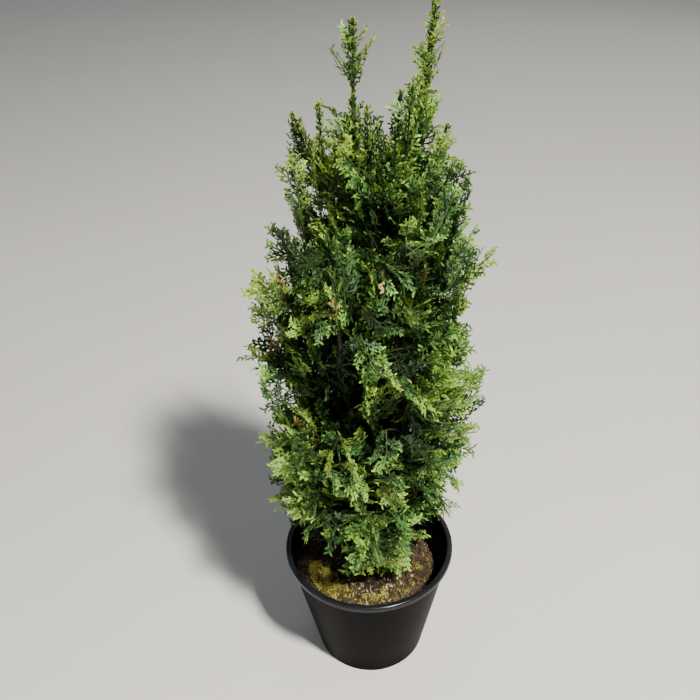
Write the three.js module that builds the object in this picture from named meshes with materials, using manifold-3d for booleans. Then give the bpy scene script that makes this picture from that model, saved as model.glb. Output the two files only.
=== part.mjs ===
// A young thuja in a round nursery pot, in millimetres, +Z up.
// The origin is the middle of the pot's flat underside. +X is the viewer's right and -Y faces the viewer.
// The trunk runs whole to the taller tip and a second leader to the other. Short boughs reach from the
// trunk into the foliage, which stands round it in tiers of separate masses.
import * as THREE from "three";
import { mergeVertices } from "three/addons/utils/BufferGeometryUtils.js";
import Module from "manifold-3d";

const wasm = await Module();
wasm.setup();

// Nursery pot: a thin tapered wall under a rounded lip, on a floor with a raised ring of drain holes
const POT = {
  height: 150,
  lipRadius: 95,
  lipWidth: 6,
  lipDepth: 6.5,
  shoulderRadius: 91,
  footRadius: 63,
  bevel: 0.8,
  wall: 1.6,
  floor: 2,
  ringInner: 45,
  ringOuter: 57,
  ringRise: 4,
  ringSlope: 2,
  drainHoles: 8,
  drainRadius: 3.6,
};
const ROUND_SEGMENTS = 26;

// Root ball: it fills the pot to a little under the lip, and has shrunk from the wall on the right
const SOIL = {
  level: 121,
  unevenness: 2.2,
  lumpSize: 14,
  collarRadius: 12,
  edgeDrop: 3,
  shrink: 6,
  shrinkDepth: 16,
  shrinkFrom: 62,
  rings: [0.92, 0.78, 0.6, 0.4, 0.18, 0],
};

// Cushions of moss on the soil: bearing and span in degrees, distance from the middle, width and thickness
const MOSSES = [
  { name: "moss_left", bearing: 216, span: 66, middle: 58, width: 30, thickness: 9 },
  { name: "moss_front", bearing: 283, span: 58, middle: 60, width: 24, thickness: 5 },
  { name: "moss_right", bearing: 352, span: 70, middle: 56, width: 26, thickness: 6 },
];
const MOSS = { edge: 1.2, sunk: 3, unevenness: 2, alongFaces: 8, acrossFaces: 4 };

// Gaps: between touching solids, and between foliage and the limbs it is cut round
const TOUCH = 0.3;
const CUT_GAP = 0.8;
// Masses are thinned out to fewer faces, which may move a surface by this much before and after it is cut
const THINNING = { whole: 3, cut: 0.4 };

// Main stem: it leans to the right and runs whole to the taller of the two tips
const TRUNK = { foot: 8, tip: 1.1, flare: 4.5, flareHeight: 16, sunk: 6, sides: 7, steps: 14 };
const TRUNK_TIP = new THREE.Vector3(60, 0, 737);
const TRUNK_BOW = new THREE.Vector3(-7, 3, 0);

// Second stem: it forks off low down and runs straight up to the shorter tip
const LEADER = { forkHeight: 176, foot: 5, tip: 1, sides: 6, steps: 9 };
const LEADER_WAY = [
  [-9, -7, 330],
  [-7, -6, 540],
  [-4, -4, 724],
];

// The crown's reach from the pot's axis to its tips, on four sides and at rising heights
const CROWN = {
  heights: [170, 240, 376, 440, 485, 506, 549, 580, 606, 655],
  left: [92, 108, 111, 112, 111, 98, 86, 70, 67, 59],
  right: [76, 102, 118, 106, 112, 117, 113, 111, 92, 62],
  front: [80, 92, 99, 96, 91, 88, 78, 68, 58, 34],
  back: [82, 94, 99, 97, 93, 90, 80, 72, 60, 36],
};

// Foliage stands in five tiers and six columns. Each column is lifted by its own share of a tier
const TIERS = ["skirt", "lower", "belly", "middle", "crest"];
// The core is the hollow round the trunk below the crest, which the boughs cross
const TIER = { bottom: 172, pitch: 89, tall: 124, core: 17 };
// How steeply the seam between a mass and the one above it rises outwards, so that tips stand before it
const SEAM_RISE = 0.6;
const COLUMNS = [
  { name: "right", bearing: 2, lift: 0 },
  { name: "back_right", bearing: 62, lift: 0.22 },
  { name: "back_left", bearing: 119, lift: -0.12 },
  { name: "left", bearing: 181, lift: -0.08 },
  { name: "front_left", bearing: 243, lift: 0.12 },
  { name: "front_right", bearing: 300, lift: 0.26 },
];

// Shape of one mass: its width as a share of its distance out, how it leans, swells, and ends in tips
const MASS = {
  widthShare: 0.62,
  depthShare: 0.42,
  wander: 8,
  lean: 0.14,
  lumps: 0.1,
  lumpCount: 1.6,
  tipLength: 0.34,
  tipBreadth: 0.045,
  tipTurn: 0.5,
};
// Ways that the tips of a mass point: outwards, sideways and upwards
const TIPS = [
  [0.95, 0.05, 0.25],
  [0.66, 0.05, 0.75],
  [0.62, 0.62, 0.48],
  [0.6, -0.64, 0.42],
  [0.2, -0.1, 0.98],
  [0.75, 0.1, -0.6],
  [0.1, 0.75, 0.6],
];

// Shape of a spire or shoot: where its middle is along its axis, how it leans, and how it narrows upwards
const SPINDLE = { middle: 0.46, tallShare: 0.86, lean: 0.43, draw: 0.55 };
// Spires and shoots above the crown's shoulders: foot and tip on each one's own axis, widest near the foot
const SHOOTS = [
  { name: "spire_right_low", foot: [36, 0, 596], tip: [54, 0, 694], width: 27, depth: 24 },
  { name: "spire_right_high", foot: [56, 0, 668], tip: [61, 0, 739], width: 15, depth: 13 },
  { name: "spire_left_low", foot: [-17, -6, 590], tip: [-21, -6, 666], width: 24, depth: 20 },
  { name: "spire_left_high", foot: [-4, -5, 676], tip: [-4, -4, 727], width: 22, depth: 14 },
  { name: "shoot_far_left", foot: [-46, -8, 580], tip: [-60, -4, 660], width: 18, depth: 18 },
  { name: "shoot_middle", foot: [14, 10, 580], tip: [19, 2, 655], width: 16, depth: 16 },
];
// Sprays that nod over the soil, in front of the trunk
const NODDING = { name: "skirt_front", middle: [12, -40, 170], width: 38, depth: 24, tall: 58, bearing: 280 };

// Boughs: the mass that each ends in, and how far below that mass it leaves the trunk
// A bough bends outwards after this share of its rise, at this share of its reach
const BOUGH = { foot: 3.4, tip: 1.5, sides: 5, steps: 4, rise: 0.62, reach: 0.32 };
const BOUGHS = [
  { to: "skirt_front", drop: 26 },
  { to: "skirt_left", drop: 66 },
  { to: "skirt_right", drop: 72 },
  { to: "skirt_back_right", drop: 34 },
  { to: "lower_front_left", drop: 96 },
  { to: "lower_back_left", drop: 90 },
  { to: "belly_right", drop: 104 },
  { to: "belly_front_right", drop: 92 },
  { to: "middle_left", drop: 110 },
  { to: "middle_back_right", drop: 96 },
  { to: "middle_front_left", drop: 98 },
  { to: "shoot_far_left", drop: 150 },
];

const radians = THREE.MathUtils.degToRad;
const smooth = THREE.MathUtils.smoothstep;
const UP = new THREE.Vector3(0, 0, 1);
const solids = new Map(); // name to finished solid
const colours = { pot: 0x17181a, soil: 0x3a2a1c, moss: 0x6e6a1e, bark: 0x6b4a33, foliage: 0x4c7a22 };

// A repeatable number from -1 to 1 that varies smoothly over a direction or place
function ripple(x, y, z, seed) {
  return (
    Math.sin(2.3 * x + 1.7 * y + seed) * 0.5 +
    Math.sin(3.1 * y - 2.2 * z + 2.4 * seed) * 0.3 +
    Math.sin(4.3 * z + 3.7 * x - 1.3 * seed) * 0.2
  );
}

// A closed geometry as a solid that can be joined and cut
function solidOf(geometry) {
  const bare = geometry.index ? geometry.toNonIndexed() : geometry.clone();
  bare.deleteAttribute("normal");
  bare.deleteAttribute("uv");
  const merged = mergeVertices(bare, 1e-3);
  return new wasm.Manifold(
    new wasm.Mesh({
      numProp: 3,
      vertProperties: merged.attributes.position.array,
      triVerts: new Uint32Array(merged.index.array),
    }),
  );
}

function geometryOf(solid) {
  const { numProp, vertProperties, triVerts } = solid.getMesh();
  const places = new Float32Array((vertProperties.length / numProp) * 3);
  for (let i = 0; i < places.length / 3; i++)
    places.set(vertProperties.subarray(i * numProp, i * numProp + 3), i * 3);
  const geometry = new THREE.BufferGeometry();
  geometry.setAttribute("position", new THREE.BufferAttribute(places, 3));
  geometry.setIndex(new THREE.BufferAttribute(triVerts, 1));
  geometry.computeVertexNormals();
  return geometry;
}

// The largest body of a solid, without the crumbs that a cut can leave
function largest(solid) {
  return solid.decompose().reduce((best, body) => (body.volume() > best.volume() ? body : best));
}

// Revolves a profile of [radius, height] pairs about the pot's axis
function turned(profile) {
  const points = profile.map(([radius, height]) => new THREE.Vector2(radius, height));
  return new THREE.LatheGeometry(points, ROUND_SEGMENTS).rotateX(Math.PI / 2);
}

// Moves every vertex of a geometry by a function of its place
function reshaped(geometry, move) {
  const places = geometry.attributes.position;
  const place = new THREE.Vector3();
  for (let i = 0; i < places.count; i++) {
    move(place.fromBufferAttribute(places, i));
    places.setXYZ(i, place.x, place.y, place.z);
  }
  return geometry;
}

// Radius of the pot's inner wall at a height
function innerRadius(height) {
  const climb = height / (POT.height - POT.lipDepth);
  return THREE.MathUtils.lerp(POT.footRadius, POT.shoulderRadius, climb) - POT.wall;
}

function makePot() {
  const { height, lipRadius, lipWidth, footRadius, bevel, floor } = POT;
  const { ringInner, ringOuter, ringRise, ringSlope } = POT;
  const lipFoot = height - POT.lipDepth;
  const profile = [
    [0, 0],
    [ringInner, 0],
    [ringInner + ringSlope, ringRise],
    [ringOuter - ringSlope, ringRise],
    [ringOuter, 0],
    [footRadius - bevel, 0],
    [footRadius, bevel],
    [POT.shoulderRadius, lipFoot],
    [lipRadius - bevel, lipFoot],
    [lipRadius, lipFoot + bevel],
    [lipRadius, height - 3 * bevel],
    [lipRadius - bevel, height - bevel],
    [lipRadius - 3 * bevel, height],
    [lipRadius - lipWidth + bevel, height],
    [lipRadius - lipWidth, height - bevel],
    [innerRadius(lipFoot), lipFoot - bevel],
    [innerRadius(ringRise + floor), ringRise + floor],
    [ringInner + ringSlope, ringRise + floor],
    [ringInner, floor],
    [0, floor],
  ];
  let pot = solidOf(turned(profile));
  const drill = new THREE.CylinderGeometry(POT.drainRadius, POT.drainRadius, 4 * floor, 8);
  drill.rotateX(Math.PI / 2);
  for (let i = 0; i < POT.drainHoles; i++) {
    const turn = (2 * Math.PI * (i + 0.5)) / POT.drainHoles;
    const middle = (ringInner + ringOuter) / 2;
    const [x, y] = [middle * Math.cos(turn), middle * Math.sin(turn)];
    pot = pot.subtract(solidOf(drill.clone().translate(x, y, ringRise + floor / 2)));
  }
  return pot;
}

// How far the soil has shrunk from the wall in a direction, from 0 to 1: only on the viewer's right
function shrinkage(x, y) {
  return smooth(x / Math.max(Math.hypot(x, y), 1), 0.3, 0.9);
}

// Height of the soil's surface: uneven, level round the stem, and lower where it has shrunk from the wall
function soilHeight(x, y) {
  const radius = Math.hypot(x, y);
  const free = smooth(radius, SOIL.collarRadius, SOIL.collarRadius + 20);
  const rough = SOIL.unevenness * ripple(x / SOIL.lumpSize, y / SOIL.lumpSize, 0, 1.7) * free;
  const edge = smooth(radius, SOIL.shrinkFrom, SOIL.shrinkFrom + 20);
  return SOIL.level + rough - SOIL.shrinkDepth * shrinkage(x, y) * edge;
}

function makeSoil() {
  const { floor, ringRise, ringInner } = POT;
  const rim = innerRadius(SOIL.level) - 1;
  const under = ringRise + floor + TOUCH;
  const shoulder = SOIL.level - SOIL.shrinkDepth - 8;
  const profile = [
    [0, floor + TOUCH],
    [ringInner - 1, floor + TOUCH],
    [ringInner + 1, under],
    [innerRadius(under) - TOUCH, under],
    [innerRadius(shoulder) - TOUCH, shoulder],
    [rim, SOIL.level - SOIL.edgeDrop],
    ...SOIL.rings.map((share) => [rim * share, SOIL.level]),
  ];
  const ball = reshaped(turned(profile), (place) => {
    if (place.z <= shoulder) return;
    const drop = SOIL.level - place.z;
    place.z = soilHeight(place.x, place.y) - drop;
    const room = innerRadius(place.z) - TOUCH - SOIL.shrink * shrinkage(place.x, place.y);
    const radius = Math.hypot(place.x, place.y);
    if (radius > room) place.set((place.x * room) / radius, (place.y * room) / radius, place.z);
  });
  return solidOf(ball);
}

// A cushion that sits on the soil: a flat block bent along an arc, thickest in its middle
function makeMoss({ bearing, span, middle, width, thickness }, soil) {
  const block = new THREE.BoxGeometry(1, 1, 1, MOSS.alongFaces, MOSS.acrossFaces, 1);
  const cushion = solidOf(
    reshaped(block, (place) => {
      const along = place.x * 2;
      const across = place.y * 2;
      const taper = Math.sqrt(1 - 0.75 * along * along);
      const turn = radians(bearing - (along * span) / 2);
      const uneven = MOSS.unevenness * ripple(along * 2, across, 0, bearing);
      const radius = middle + (across * width * taper) / 2 + uneven;
      const dome = (1 - along ** 2) * (1 - across ** 2);
      const lift = place.z > 0 ? MOSS.edge + thickness * Math.sqrt(dome) : -MOSS.sunk;
      const [x, y] = [radius * Math.cos(turn), radius * Math.sin(turn)];
      place.set(x, y, soilHeight(x, y) + lift);
    }),
  );
  return largest(cushion.subtract(soil.translate([0, 0, TOUCH])));
}

// A tapering limb along a curve: a cylinder whose rings are carried along it
function limb(curve, radiusAt, { sides, steps }, grow = 0) {
  const frames = curve.computeFrenetFrames(steps, false);
  const tube = new THREE.CylinderGeometry(1, 1, 1, sides, steps);
  return reshaped(tube, (place) => {
    const share = THREE.MathUtils.clamp(place.y + 0.5, 0, 1);
    const ring = Math.round(share * steps);
    const radius = radiusAt(share) + grow;
    const [across, over] = [place.x * radius, place.z * radius];
    curve.getPointAt(share, place);
    place.addScaledVector(frames.normals[ring], across);
    place.addScaledVector(frames.binormals[ring], -over);
  });
}

// The trunk's curve starts a little under the soil's surface, where the stem is then cut off flat
const trunkFoot = new THREE.Vector3(0, 0, SOIL.level - TRUNK.sunk);
const trunkCurve = new THREE.CatmullRomCurve3([
  trunkFoot,
  trunkFoot.clone().add(new THREE.Vector3(0.8, 0, 30)),
  trunkFoot.clone().lerp(TRUNK_TIP, 0.5).add(TRUNK_BOW),
  trunkFoot.clone().lerp(TRUNK_TIP, 0.8).addScaledVector(TRUNK_BOW, 0.3),
  TRUNK_TIP,
]);

function trunkRadius(share) {
  const height = share * (TRUNK_TIP.z - trunkFoot.z) - TRUNK.sunk;
  const flare = TRUNK.flare * Math.max(0, 1 - height / TRUNK.flareHeight) ** 2;
  return THREE.MathUtils.lerp(TRUNK.foot, TRUNK.tip, share ** 0.85) + flare;
}

// The point of a curve that climbs with its length, at a height
function atHeight(curve, height) {
  let [low, high] = [0, 1];
  for (let i = 0; i < 24; i++) {
    const half = (low + high) / 2;
    if (curve.getPointAt(half).z < height) low = half;
    else high = half;
  }
  return curve.getPointAt(low);
}

function outward(bearing) {
  return new THREE.Vector3(Math.cos(radians(bearing)), Math.sin(radians(bearing)), 0);
}

// How far the crown reaches at a height on one of its four sides
function profileAt(side, height) {
  const { heights } = CROWN;
  const above = heights.findIndex((each) => each > height);
  const row = above < 0 ? heights.length - 1 : Math.max(above, 1);
  const share = (height - heights[row - 1]) / (heights[row] - heights[row - 1]);
  return THREE.MathUtils.lerp(CROWN[side][row - 1], CROWN[side][row], THREE.MathUtils.clamp(share, 0, 1));
}

// How far the crown reaches in a direction at a height
function reachAt(bearing, height) {
  const { x, y } = outward(bearing);
  const across = profileAt(x > 0 ? "right" : "left", height);
  const along = profileAt(y > 0 ? "back" : "front", height);
  return across * x * x + along * y * y;
}

// An uneven mass: a ball stretched to its sizes, leaning outwards as it rises, with lumps and pointed tips
function lobe({ middle, bearing, width, depth, tall, seed, lean = MASS.lean, draw = 0 }) {
  const out = outward(bearing);
  const side = new THREE.Vector3(-out.y, out.x, 0);
  const tips = TIPS.map((way, i) => {
    const turn = MASS.tipTurn * Math.sin(seed + 2 * i);
    return new THREE.Vector3(...way).normalize().applyAxisAngle(UP, turn);
  });
  return reshaped(new THREE.IcosahedronGeometry(1, 2), (place) => {
    const { x, y, z } = place;
    const fine = MASS.lumpCount;
    let swell = 1 + MASS.lumps * ripple(x * fine, y * fine, z * fine, seed);
    for (const tip of tips) swell += MASS.tipLength * Math.exp((place.dot(tip) - 1) / MASS.tipBreadth);
    const narrow = swell * (1 - draw * smooth(z, -0.4, 0.9));
    place.copy(middle);
    place.addScaledVector(out, depth * (x * narrow + z * lean));
    place.addScaledVector(side, width * y * narrow);
    place.z += (tall / 2) * z * swell;
  });
}

// The sizes of the mass of a tier in a column, moved so that its furthest tip meets the crown's reach
function massOf(row, column) {
  const seed = row * 1.9 + column.bearing * 0.37;
  const bearing = column.bearing + MASS.wander * Math.sin(seed * 2.1);
  const height = TIER.bottom + TIER.pitch * (row + 0.5 + column.lift);
  const reach = reachAt(bearing, height + TIER.tall * 0.2);
  const depth = (reach - TIER.core) * MASS.depthShare;
  const width = (reach - depth) * MASS.widthShare;
  const middle = outward(bearing).multiplyScalar(reach - depth).setZ(height);
  const core = TIERS[row] === "crest" ? 0 : TIER.core;
  const sizes = { middle, bearing, width, depth, tall: TIER.tall, core, seed };
  const out = outward(bearing);
  const places = lobe(sizes).attributes.position;
  const place = new THREE.Vector3();
  let beyond = -reach;
  for (let i = 0; i < places.count; i++) {
    place.fromBufferAttribute(places, i);
    beyond = Math.max(beyond, place.dot(out) - reachAt(bearing, place.z));
  }
  middle.addScaledVector(out, -beyond);
  return sizes;
}

// A spire or shoot: a lumpy spindle round its own axis
function spindleOf({ foot, tip, width, depth }) {
  const [from, to] = [new THREE.Vector3(...foot), new THREE.Vector3(...tip)];
  const tall = (to.z - from.z) * SPINDLE.tallShare;
  const middle = from.clone().lerp(to, SPINDLE.middle);
  const lean = ((to.x - from.x) / width) * SPINDLE.lean;
  return { middle, bearing: 0, width: depth, depth: width, tall, seed: to.x, lean, draw: SPINDLE.draw };
}

const masses = new Map(); // sizes of every mass of foliage, by name
const wholes = new Map(); // the same masses as solids, not yet cut
function planFoliage() {
  masses.set(NODDING.name, { ...NODDING, middle: new THREE.Vector3(...NODDING.middle), seed: 5, lean: -0.1 });
  for (const shoot of SHOOTS) masses.set(shoot.name, spindleOf(shoot));
  TIERS.forEach((tier, row) => {
    for (const column of COLUMNS) masses.set(`${tier}_${column.name}`, massOf(row, column));
  });
  for (const [name, mass] of masses) wholes.set(name, solidOf(lobe(mass)).simplify(THINNING.whole));
}

const cutters = []; // grown copies of the limbs, which later limbs and the foliage are cut by
function cutByLimbs(solid) {
  return largest(cutters.reduce((made, cutter) => made.subtract(cutter), solid));
}

function addStem(name, curve, radiusAt, sizes) {
  solids.set(name, cutByLimbs(solidOf(limb(curve, radiusAt, sizes))));
  cutters.push(solidOf(limb(curve, radiusAt, sizes, CUT_GAP)));
}

function makeStems() {
  addStem("trunk", trunkCurve, trunkRadius, TRUNK);
  solids.set("trunk", solids.get("trunk").trimByPlane([0, 0, 1], SOIL.level + TOUCH));
  const fork = atHeight(trunkCurve, LEADER.forkHeight);
  const leaderCurve = new THREE.CatmullRomCurve3([
    fork,
    fork.clone().add(new THREE.Vector3(-7, -6, 22)),
    ...LEADER_WAY.map((place) => new THREE.Vector3(...place)),
  ]);
  const radiusAt = (share) => THREE.MathUtils.lerp(LEADER.foot, LEADER.tip, share);
  addStem("leader", leaderCurve, radiusAt, LEADER);
}

// A bough climbs close to the trunk, bends outwards and ends where it enters its mass
function makeBoughs() {
  const radiusAt = (share) => THREE.MathUtils.lerp(BOUGH.foot, BOUGH.tip, share);
  for (const { to, drop } of BOUGHS) {
    const mass = masses.get(to);
    const foot = atHeight(trunkCurve, mass.middle.z - drop);
    const bend = foot.clone().lerp(mass.middle, BOUGH.reach).setZ(foot.z + drop * BOUGH.rise);
    const curve = new THREE.CatmullRomCurve3([foot, bend, mass.middle.clone()]);
    const mine = cell(to);
    const nearer = mine.translate(curve.getTangentAt(1).multiplyScalar(-2 * TOUCH).toArray());
    const whole = solidOf(limb(curve, radiusAt, BOUGH)).subtract(mine).subtract(nearer);
    solids.set(`bough_to_${to}`, cutByLimbs(whole));
    cutters.push(solidOf(limb(curve, radiusAt, BOUGH, CUT_GAP)).subtract(mine));
  }
}

// The part of a mass that is its own: where two masses meet, each ends at a plane between them,
// which is nearer to the smaller one
function cell(name) {
  const mass = masses.get(name);
  const size = ({ width, depth, tall }) => (width + depth + tall / 2) / 3;
  let own = wholes.get(name);
  if (mass.core) {
    const out = outward(mass.bearing);
    const trunk = atHeight(trunkCurve, mass.middle.z);
    own = own.trimByPlane(out.toArray(), trunk.dot(out) + mass.core);
  }
  for (const [otherName, other] of masses) {
    if (otherName === name || wholes.get(name).intersect(wholes.get(otherName)).isEmpty()) continue;
    const between = other.middle.clone().sub(mass.middle);
    const apart = between.length();
    const share = (apart ** 2 + size(mass) ** 2 - size(other) ** 2) / (2 * apart ** 2);
    const seam = mass.middle.clone().lerp(other.middle, share);
    const out = seam.clone().setZ(0).normalize();
    const away = between.addScaledVector(out, -SEAM_RISE * between.z).normalize().negate();
    own = own.trimByPlane(away.toArray(), away.dot(seam) + TOUCH);
  }
  return own;
}

function makeFoliage() {
  for (const name of masses.keys()) solids.set(name, cutByLimbs(cell(name)).simplify(THINNING.cut));
}

solids.set("pot", makePot());
solids.set("soil", makeSoil());
for (const moss of MOSSES) solids.set(moss.name, makeMoss(moss, solids.get("soil")));
planFoliage();
makeStems();
makeBoughs();
makeFoliage();

function finishOf(name) {
  if (name === "pot") return { color: colours.pot, roughness: 0.45 };
  if (name === "soil") return { color: colours.soil, roughness: 1 };
  if (name.startsWith("moss")) return { color: colours.moss, roughness: 1 };
  if (["trunk", "leader"].includes(name) || name.startsWith("bough")) {
    return { color: colours.bark, roughness: 0.9 };
  }
  return { color: colours.foliage, roughness: 0.7 };
}

const plant = new THREE.Group();
for (const [name, solid] of solids) {
  const material = new THREE.MeshStandardMaterial({ ...finishOf(name), metalness: 0 });
  const mesh = new THREE.Mesh(geometryOf(solid), material);
  mesh.name = name;
  plant.add(mesh);
}

export default plant;
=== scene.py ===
"""A young thuja in its round nursery pot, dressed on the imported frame, in metres."""

import math

import bmesh
import bpy
import numpy as np
from mathutils import Matrix, Vector, noise
from mathutils.bvhtree import BVHTree


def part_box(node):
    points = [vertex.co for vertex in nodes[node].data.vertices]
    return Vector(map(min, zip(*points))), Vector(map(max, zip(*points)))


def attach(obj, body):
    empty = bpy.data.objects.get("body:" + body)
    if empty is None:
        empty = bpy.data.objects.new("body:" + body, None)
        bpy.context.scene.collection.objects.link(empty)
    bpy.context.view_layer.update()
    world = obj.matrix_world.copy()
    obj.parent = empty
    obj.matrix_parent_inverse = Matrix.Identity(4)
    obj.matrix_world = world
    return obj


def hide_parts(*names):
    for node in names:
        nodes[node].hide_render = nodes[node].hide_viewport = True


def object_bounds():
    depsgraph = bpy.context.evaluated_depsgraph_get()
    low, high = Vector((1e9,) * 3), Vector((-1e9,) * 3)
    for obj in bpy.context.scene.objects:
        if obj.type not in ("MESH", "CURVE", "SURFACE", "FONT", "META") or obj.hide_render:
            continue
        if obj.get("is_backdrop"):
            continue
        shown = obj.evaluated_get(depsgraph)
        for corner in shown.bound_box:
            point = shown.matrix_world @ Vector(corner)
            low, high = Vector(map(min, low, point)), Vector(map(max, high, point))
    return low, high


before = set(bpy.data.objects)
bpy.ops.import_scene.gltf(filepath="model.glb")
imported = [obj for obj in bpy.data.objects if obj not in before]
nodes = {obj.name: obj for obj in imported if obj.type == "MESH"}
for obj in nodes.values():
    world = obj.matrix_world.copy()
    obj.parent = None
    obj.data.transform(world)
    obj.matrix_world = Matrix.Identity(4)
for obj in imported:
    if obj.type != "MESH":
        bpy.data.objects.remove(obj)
cad_low, cad_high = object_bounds()

# Pot: a thin injection-moulded nursery pot of black plastic, tapered, with a rounded lip.
# It stands free on the floor. Its inside below the compost isn't seen and follows the frame's wall.
pot_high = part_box("pot")[1]
POT_HEIGHT = pot_high.z
LIP_RADIUS = pot_high.x
LIP_WIDTH = 0.006
LIP_DEPTH = 0.0065
LIP_ROUND = 0.0022
SMALL_ROUND = 0.0012
SHOULDER_RADIUS = LIP_RADIUS - 0.004
FOOT_RADIUS = 0.063
WALL = 0.0016
FLOOR = 0.002
RING_INNER = 0.045
RING_OUTER = 0.057
RING_RISE = 0.004
POT_STEPS = 128
DRAIN_HOLES = 8
DRAIN_RADIUS = 0.0036
DRAIN_DEEP = 0.02
DRAIN_SIDES = 20
MERGE = 1e-6


def arc(middle, radius, start, end, count):
    """Points of an arc in the profile's plane, as (distance from the axis, height); angles in degrees."""
    turns = np.radians(np.linspace(start, end, count))
    return [(middle[0] + radius * math.cos(t), middle[1] + radius * math.sin(t)) for t in turns]


def turned(profile, steps):
    """A shape turned about the pot's axis from a profile of (distance, height)."""
    bm = bmesh.new()
    corners = [bm.verts.new((r, 0, z)) for r, z in profile]
    edges = [bm.edges.new(pair) for pair in zip(corners, corners[1:])]
    bmesh.ops.spin(
        bm,
        geom=corners + edges,
        cent=(0, 0, 0),
        axis=(0, 0, 1),
        angle=2 * math.pi,
        steps=steps,
        use_merge=True,
    )
    bmesh.ops.remove_doubles(bm, verts=bm.verts, dist=MERGE)
    return bm


def placed(name, mesh):
    """A piece that shows a mesh, with its object at the origin."""
    piece = bpy.data.objects.new(name, mesh)
    bpy.context.scene.collection.objects.link(piece)
    return piece


def modelled(name, bm):
    """A piece from a finished shape, which is freed."""
    mesh = bpy.data.meshes.new(name)
    bm.to_mesh(mesh)
    bm.free()
    return placed(name, mesh)


def as_mesh(piece):
    """The mesh that a piece shows once its modifiers or its curve's width are worked out."""
    bpy.context.view_layer.update()
    return bpy.data.meshes.new_from_object(piece.evaluated_get(bpy.context.evaluated_depsgraph_get()))


lip_foot = POT_HEIGHT - LIP_DEPTH
lip_inner = LIP_RADIUS - LIP_WIDTH
foot_inner = FOOT_RADIUS - WALL + 0.001
floor_top = RING_RISE + FLOOR
pot_profile = (
    [(0, 0), (RING_INNER, 0), (RING_INNER + FLOOR, RING_RISE), (RING_OUTER - FLOOR, RING_RISE)]
    + [(RING_OUTER, 0), (FOOT_RADIUS - SMALL_ROUND, 0)]
    + arc((FOOT_RADIUS - SMALL_ROUND, SMALL_ROUND), SMALL_ROUND, -60, 0, 4)
    + [(SHOULDER_RADIUS, lip_foot)]
    + arc((LIP_RADIUS - SMALL_ROUND, lip_foot + SMALL_ROUND), SMALL_ROUND, -90, 0, 5)
    + arc((LIP_RADIUS - LIP_ROUND, POT_HEIGHT - LIP_ROUND), LIP_ROUND, 0, 90, 7)
    + arc((lip_inner + SMALL_ROUND, POT_HEIGHT - SMALL_ROUND), SMALL_ROUND, 90, 180, 5)
    + [(SHOULDER_RADIUS - WALL, lip_foot - 0.001), (foot_inner, floor_top)]
    + [(RING_INNER + FLOOR, floor_top), (RING_INNER, FLOOR), (0, FLOOR)]
)
bm = turned(pot_profile, POT_STEPS)
bmesh.ops.recalc_face_normals(bm, faces=bm.faces)
for face in bm.faces:
    face.smooth = True
pot = modelled("pot_wall", bm)

bm = bmesh.new()
for hole in range(DRAIN_HOLES):
    turn = 2 * math.pi * (hole + 0.5) / DRAIN_HOLES
    middle = (RING_INNER + RING_OUTER) / 2
    bmesh.ops.create_cone(
        bm,
        cap_ends=True,
        segments=DRAIN_SIDES,
        radius1=DRAIN_RADIUS,
        radius2=DRAIN_RADIUS,
        depth=DRAIN_DEEP,
        matrix=Matrix.Translation((middle * math.cos(turn), middle * math.sin(turn), RING_RISE)),
    )
drill = modelled("drills", bm)
cut = pot.modifiers.new("drain_holes", "BOOLEAN")
cut.operation = "DIFFERENCE"
cut.solver = "EXACT"
cut.object = drill
drained = as_mesh(pot)
pot.modifiers.clear()
pot.data = drained
bpy.data.objects.remove(drill)

# Wear: a dusty, mottled film that the pot, the compost, the bark and the leaves share.
# Each material sets the film's strength and the size of its patches.
PATCH_DETAIL = 5
PATCH_ROUGH = 0.62
DUST_FROM = 0.36
DUST_FULL = 0.72
wear = bpy.data.node_groups.new("dusty_film", "ShaderNodeTree")
for flow, kind, sockets in [
    ("INPUT", "Color", ["Base", "Dust"]),
    ("INPUT", "Float", ["Amount", "Scale", "Roughness Low", "Roughness High"]),
    ("OUTPUT", "Color", ["Color"]),
    ("OUTPUT", "Float", ["Roughness", "Height"]),
]:
    for socket in sockets:
        wear.interface.new_socket(socket, in_out=flow, socket_type=f"NodeSocket{kind}")
given = wear.nodes.new("NodeGroupInput")
result = wear.nodes.new("NodeGroupOutput")
where = wear.nodes.new("ShaderNodeTexCoord")
patches = wear.nodes.new("ShaderNodeTexNoise")
patches.inputs["Detail"].default_value = PATCH_DETAIL
patches.inputs["Roughness"].default_value = PATCH_ROUGH
spread = wear.nodes.new("ShaderNodeMapRange")
spread.inputs["From Min"].default_value = DUST_FROM
spread.inputs["From Max"].default_value = DUST_FULL
strength = wear.nodes.new("ShaderNodeMath")
strength.operation = "MULTIPLY"
blend = wear.nodes.new("ShaderNodeMix")
blend.data_type = "RGBA"
sheen = wear.nodes.new("ShaderNodeMapRange")
for source, put_out, target, taken_in in [
    (where, "Object", patches, "Vector"),
    (given, "Scale", patches, "Scale"),
    (patches, "Fac", spread, "Value"),
    (spread, "Result", strength, 0),
    (given, "Amount", strength, 1),
    (strength, "Value", blend, "Factor"),
    (given, "Base", blend, "A"),
    (given, "Dust", blend, "B"),
    (patches, "Fac", sheen, "Value"),
    (given, "Roughness Low", sheen, "To Min"),
    (given, "Roughness High", sheen, "To Max"),
    (blend, "Result", result, "Color"),
    (sheen, "Result", result, "Roughness"),
    (patches, "Fac", result, "Height"),
]:
    wear.links.new(source.outputs[put_out], target.inputs[taken_in])


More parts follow.
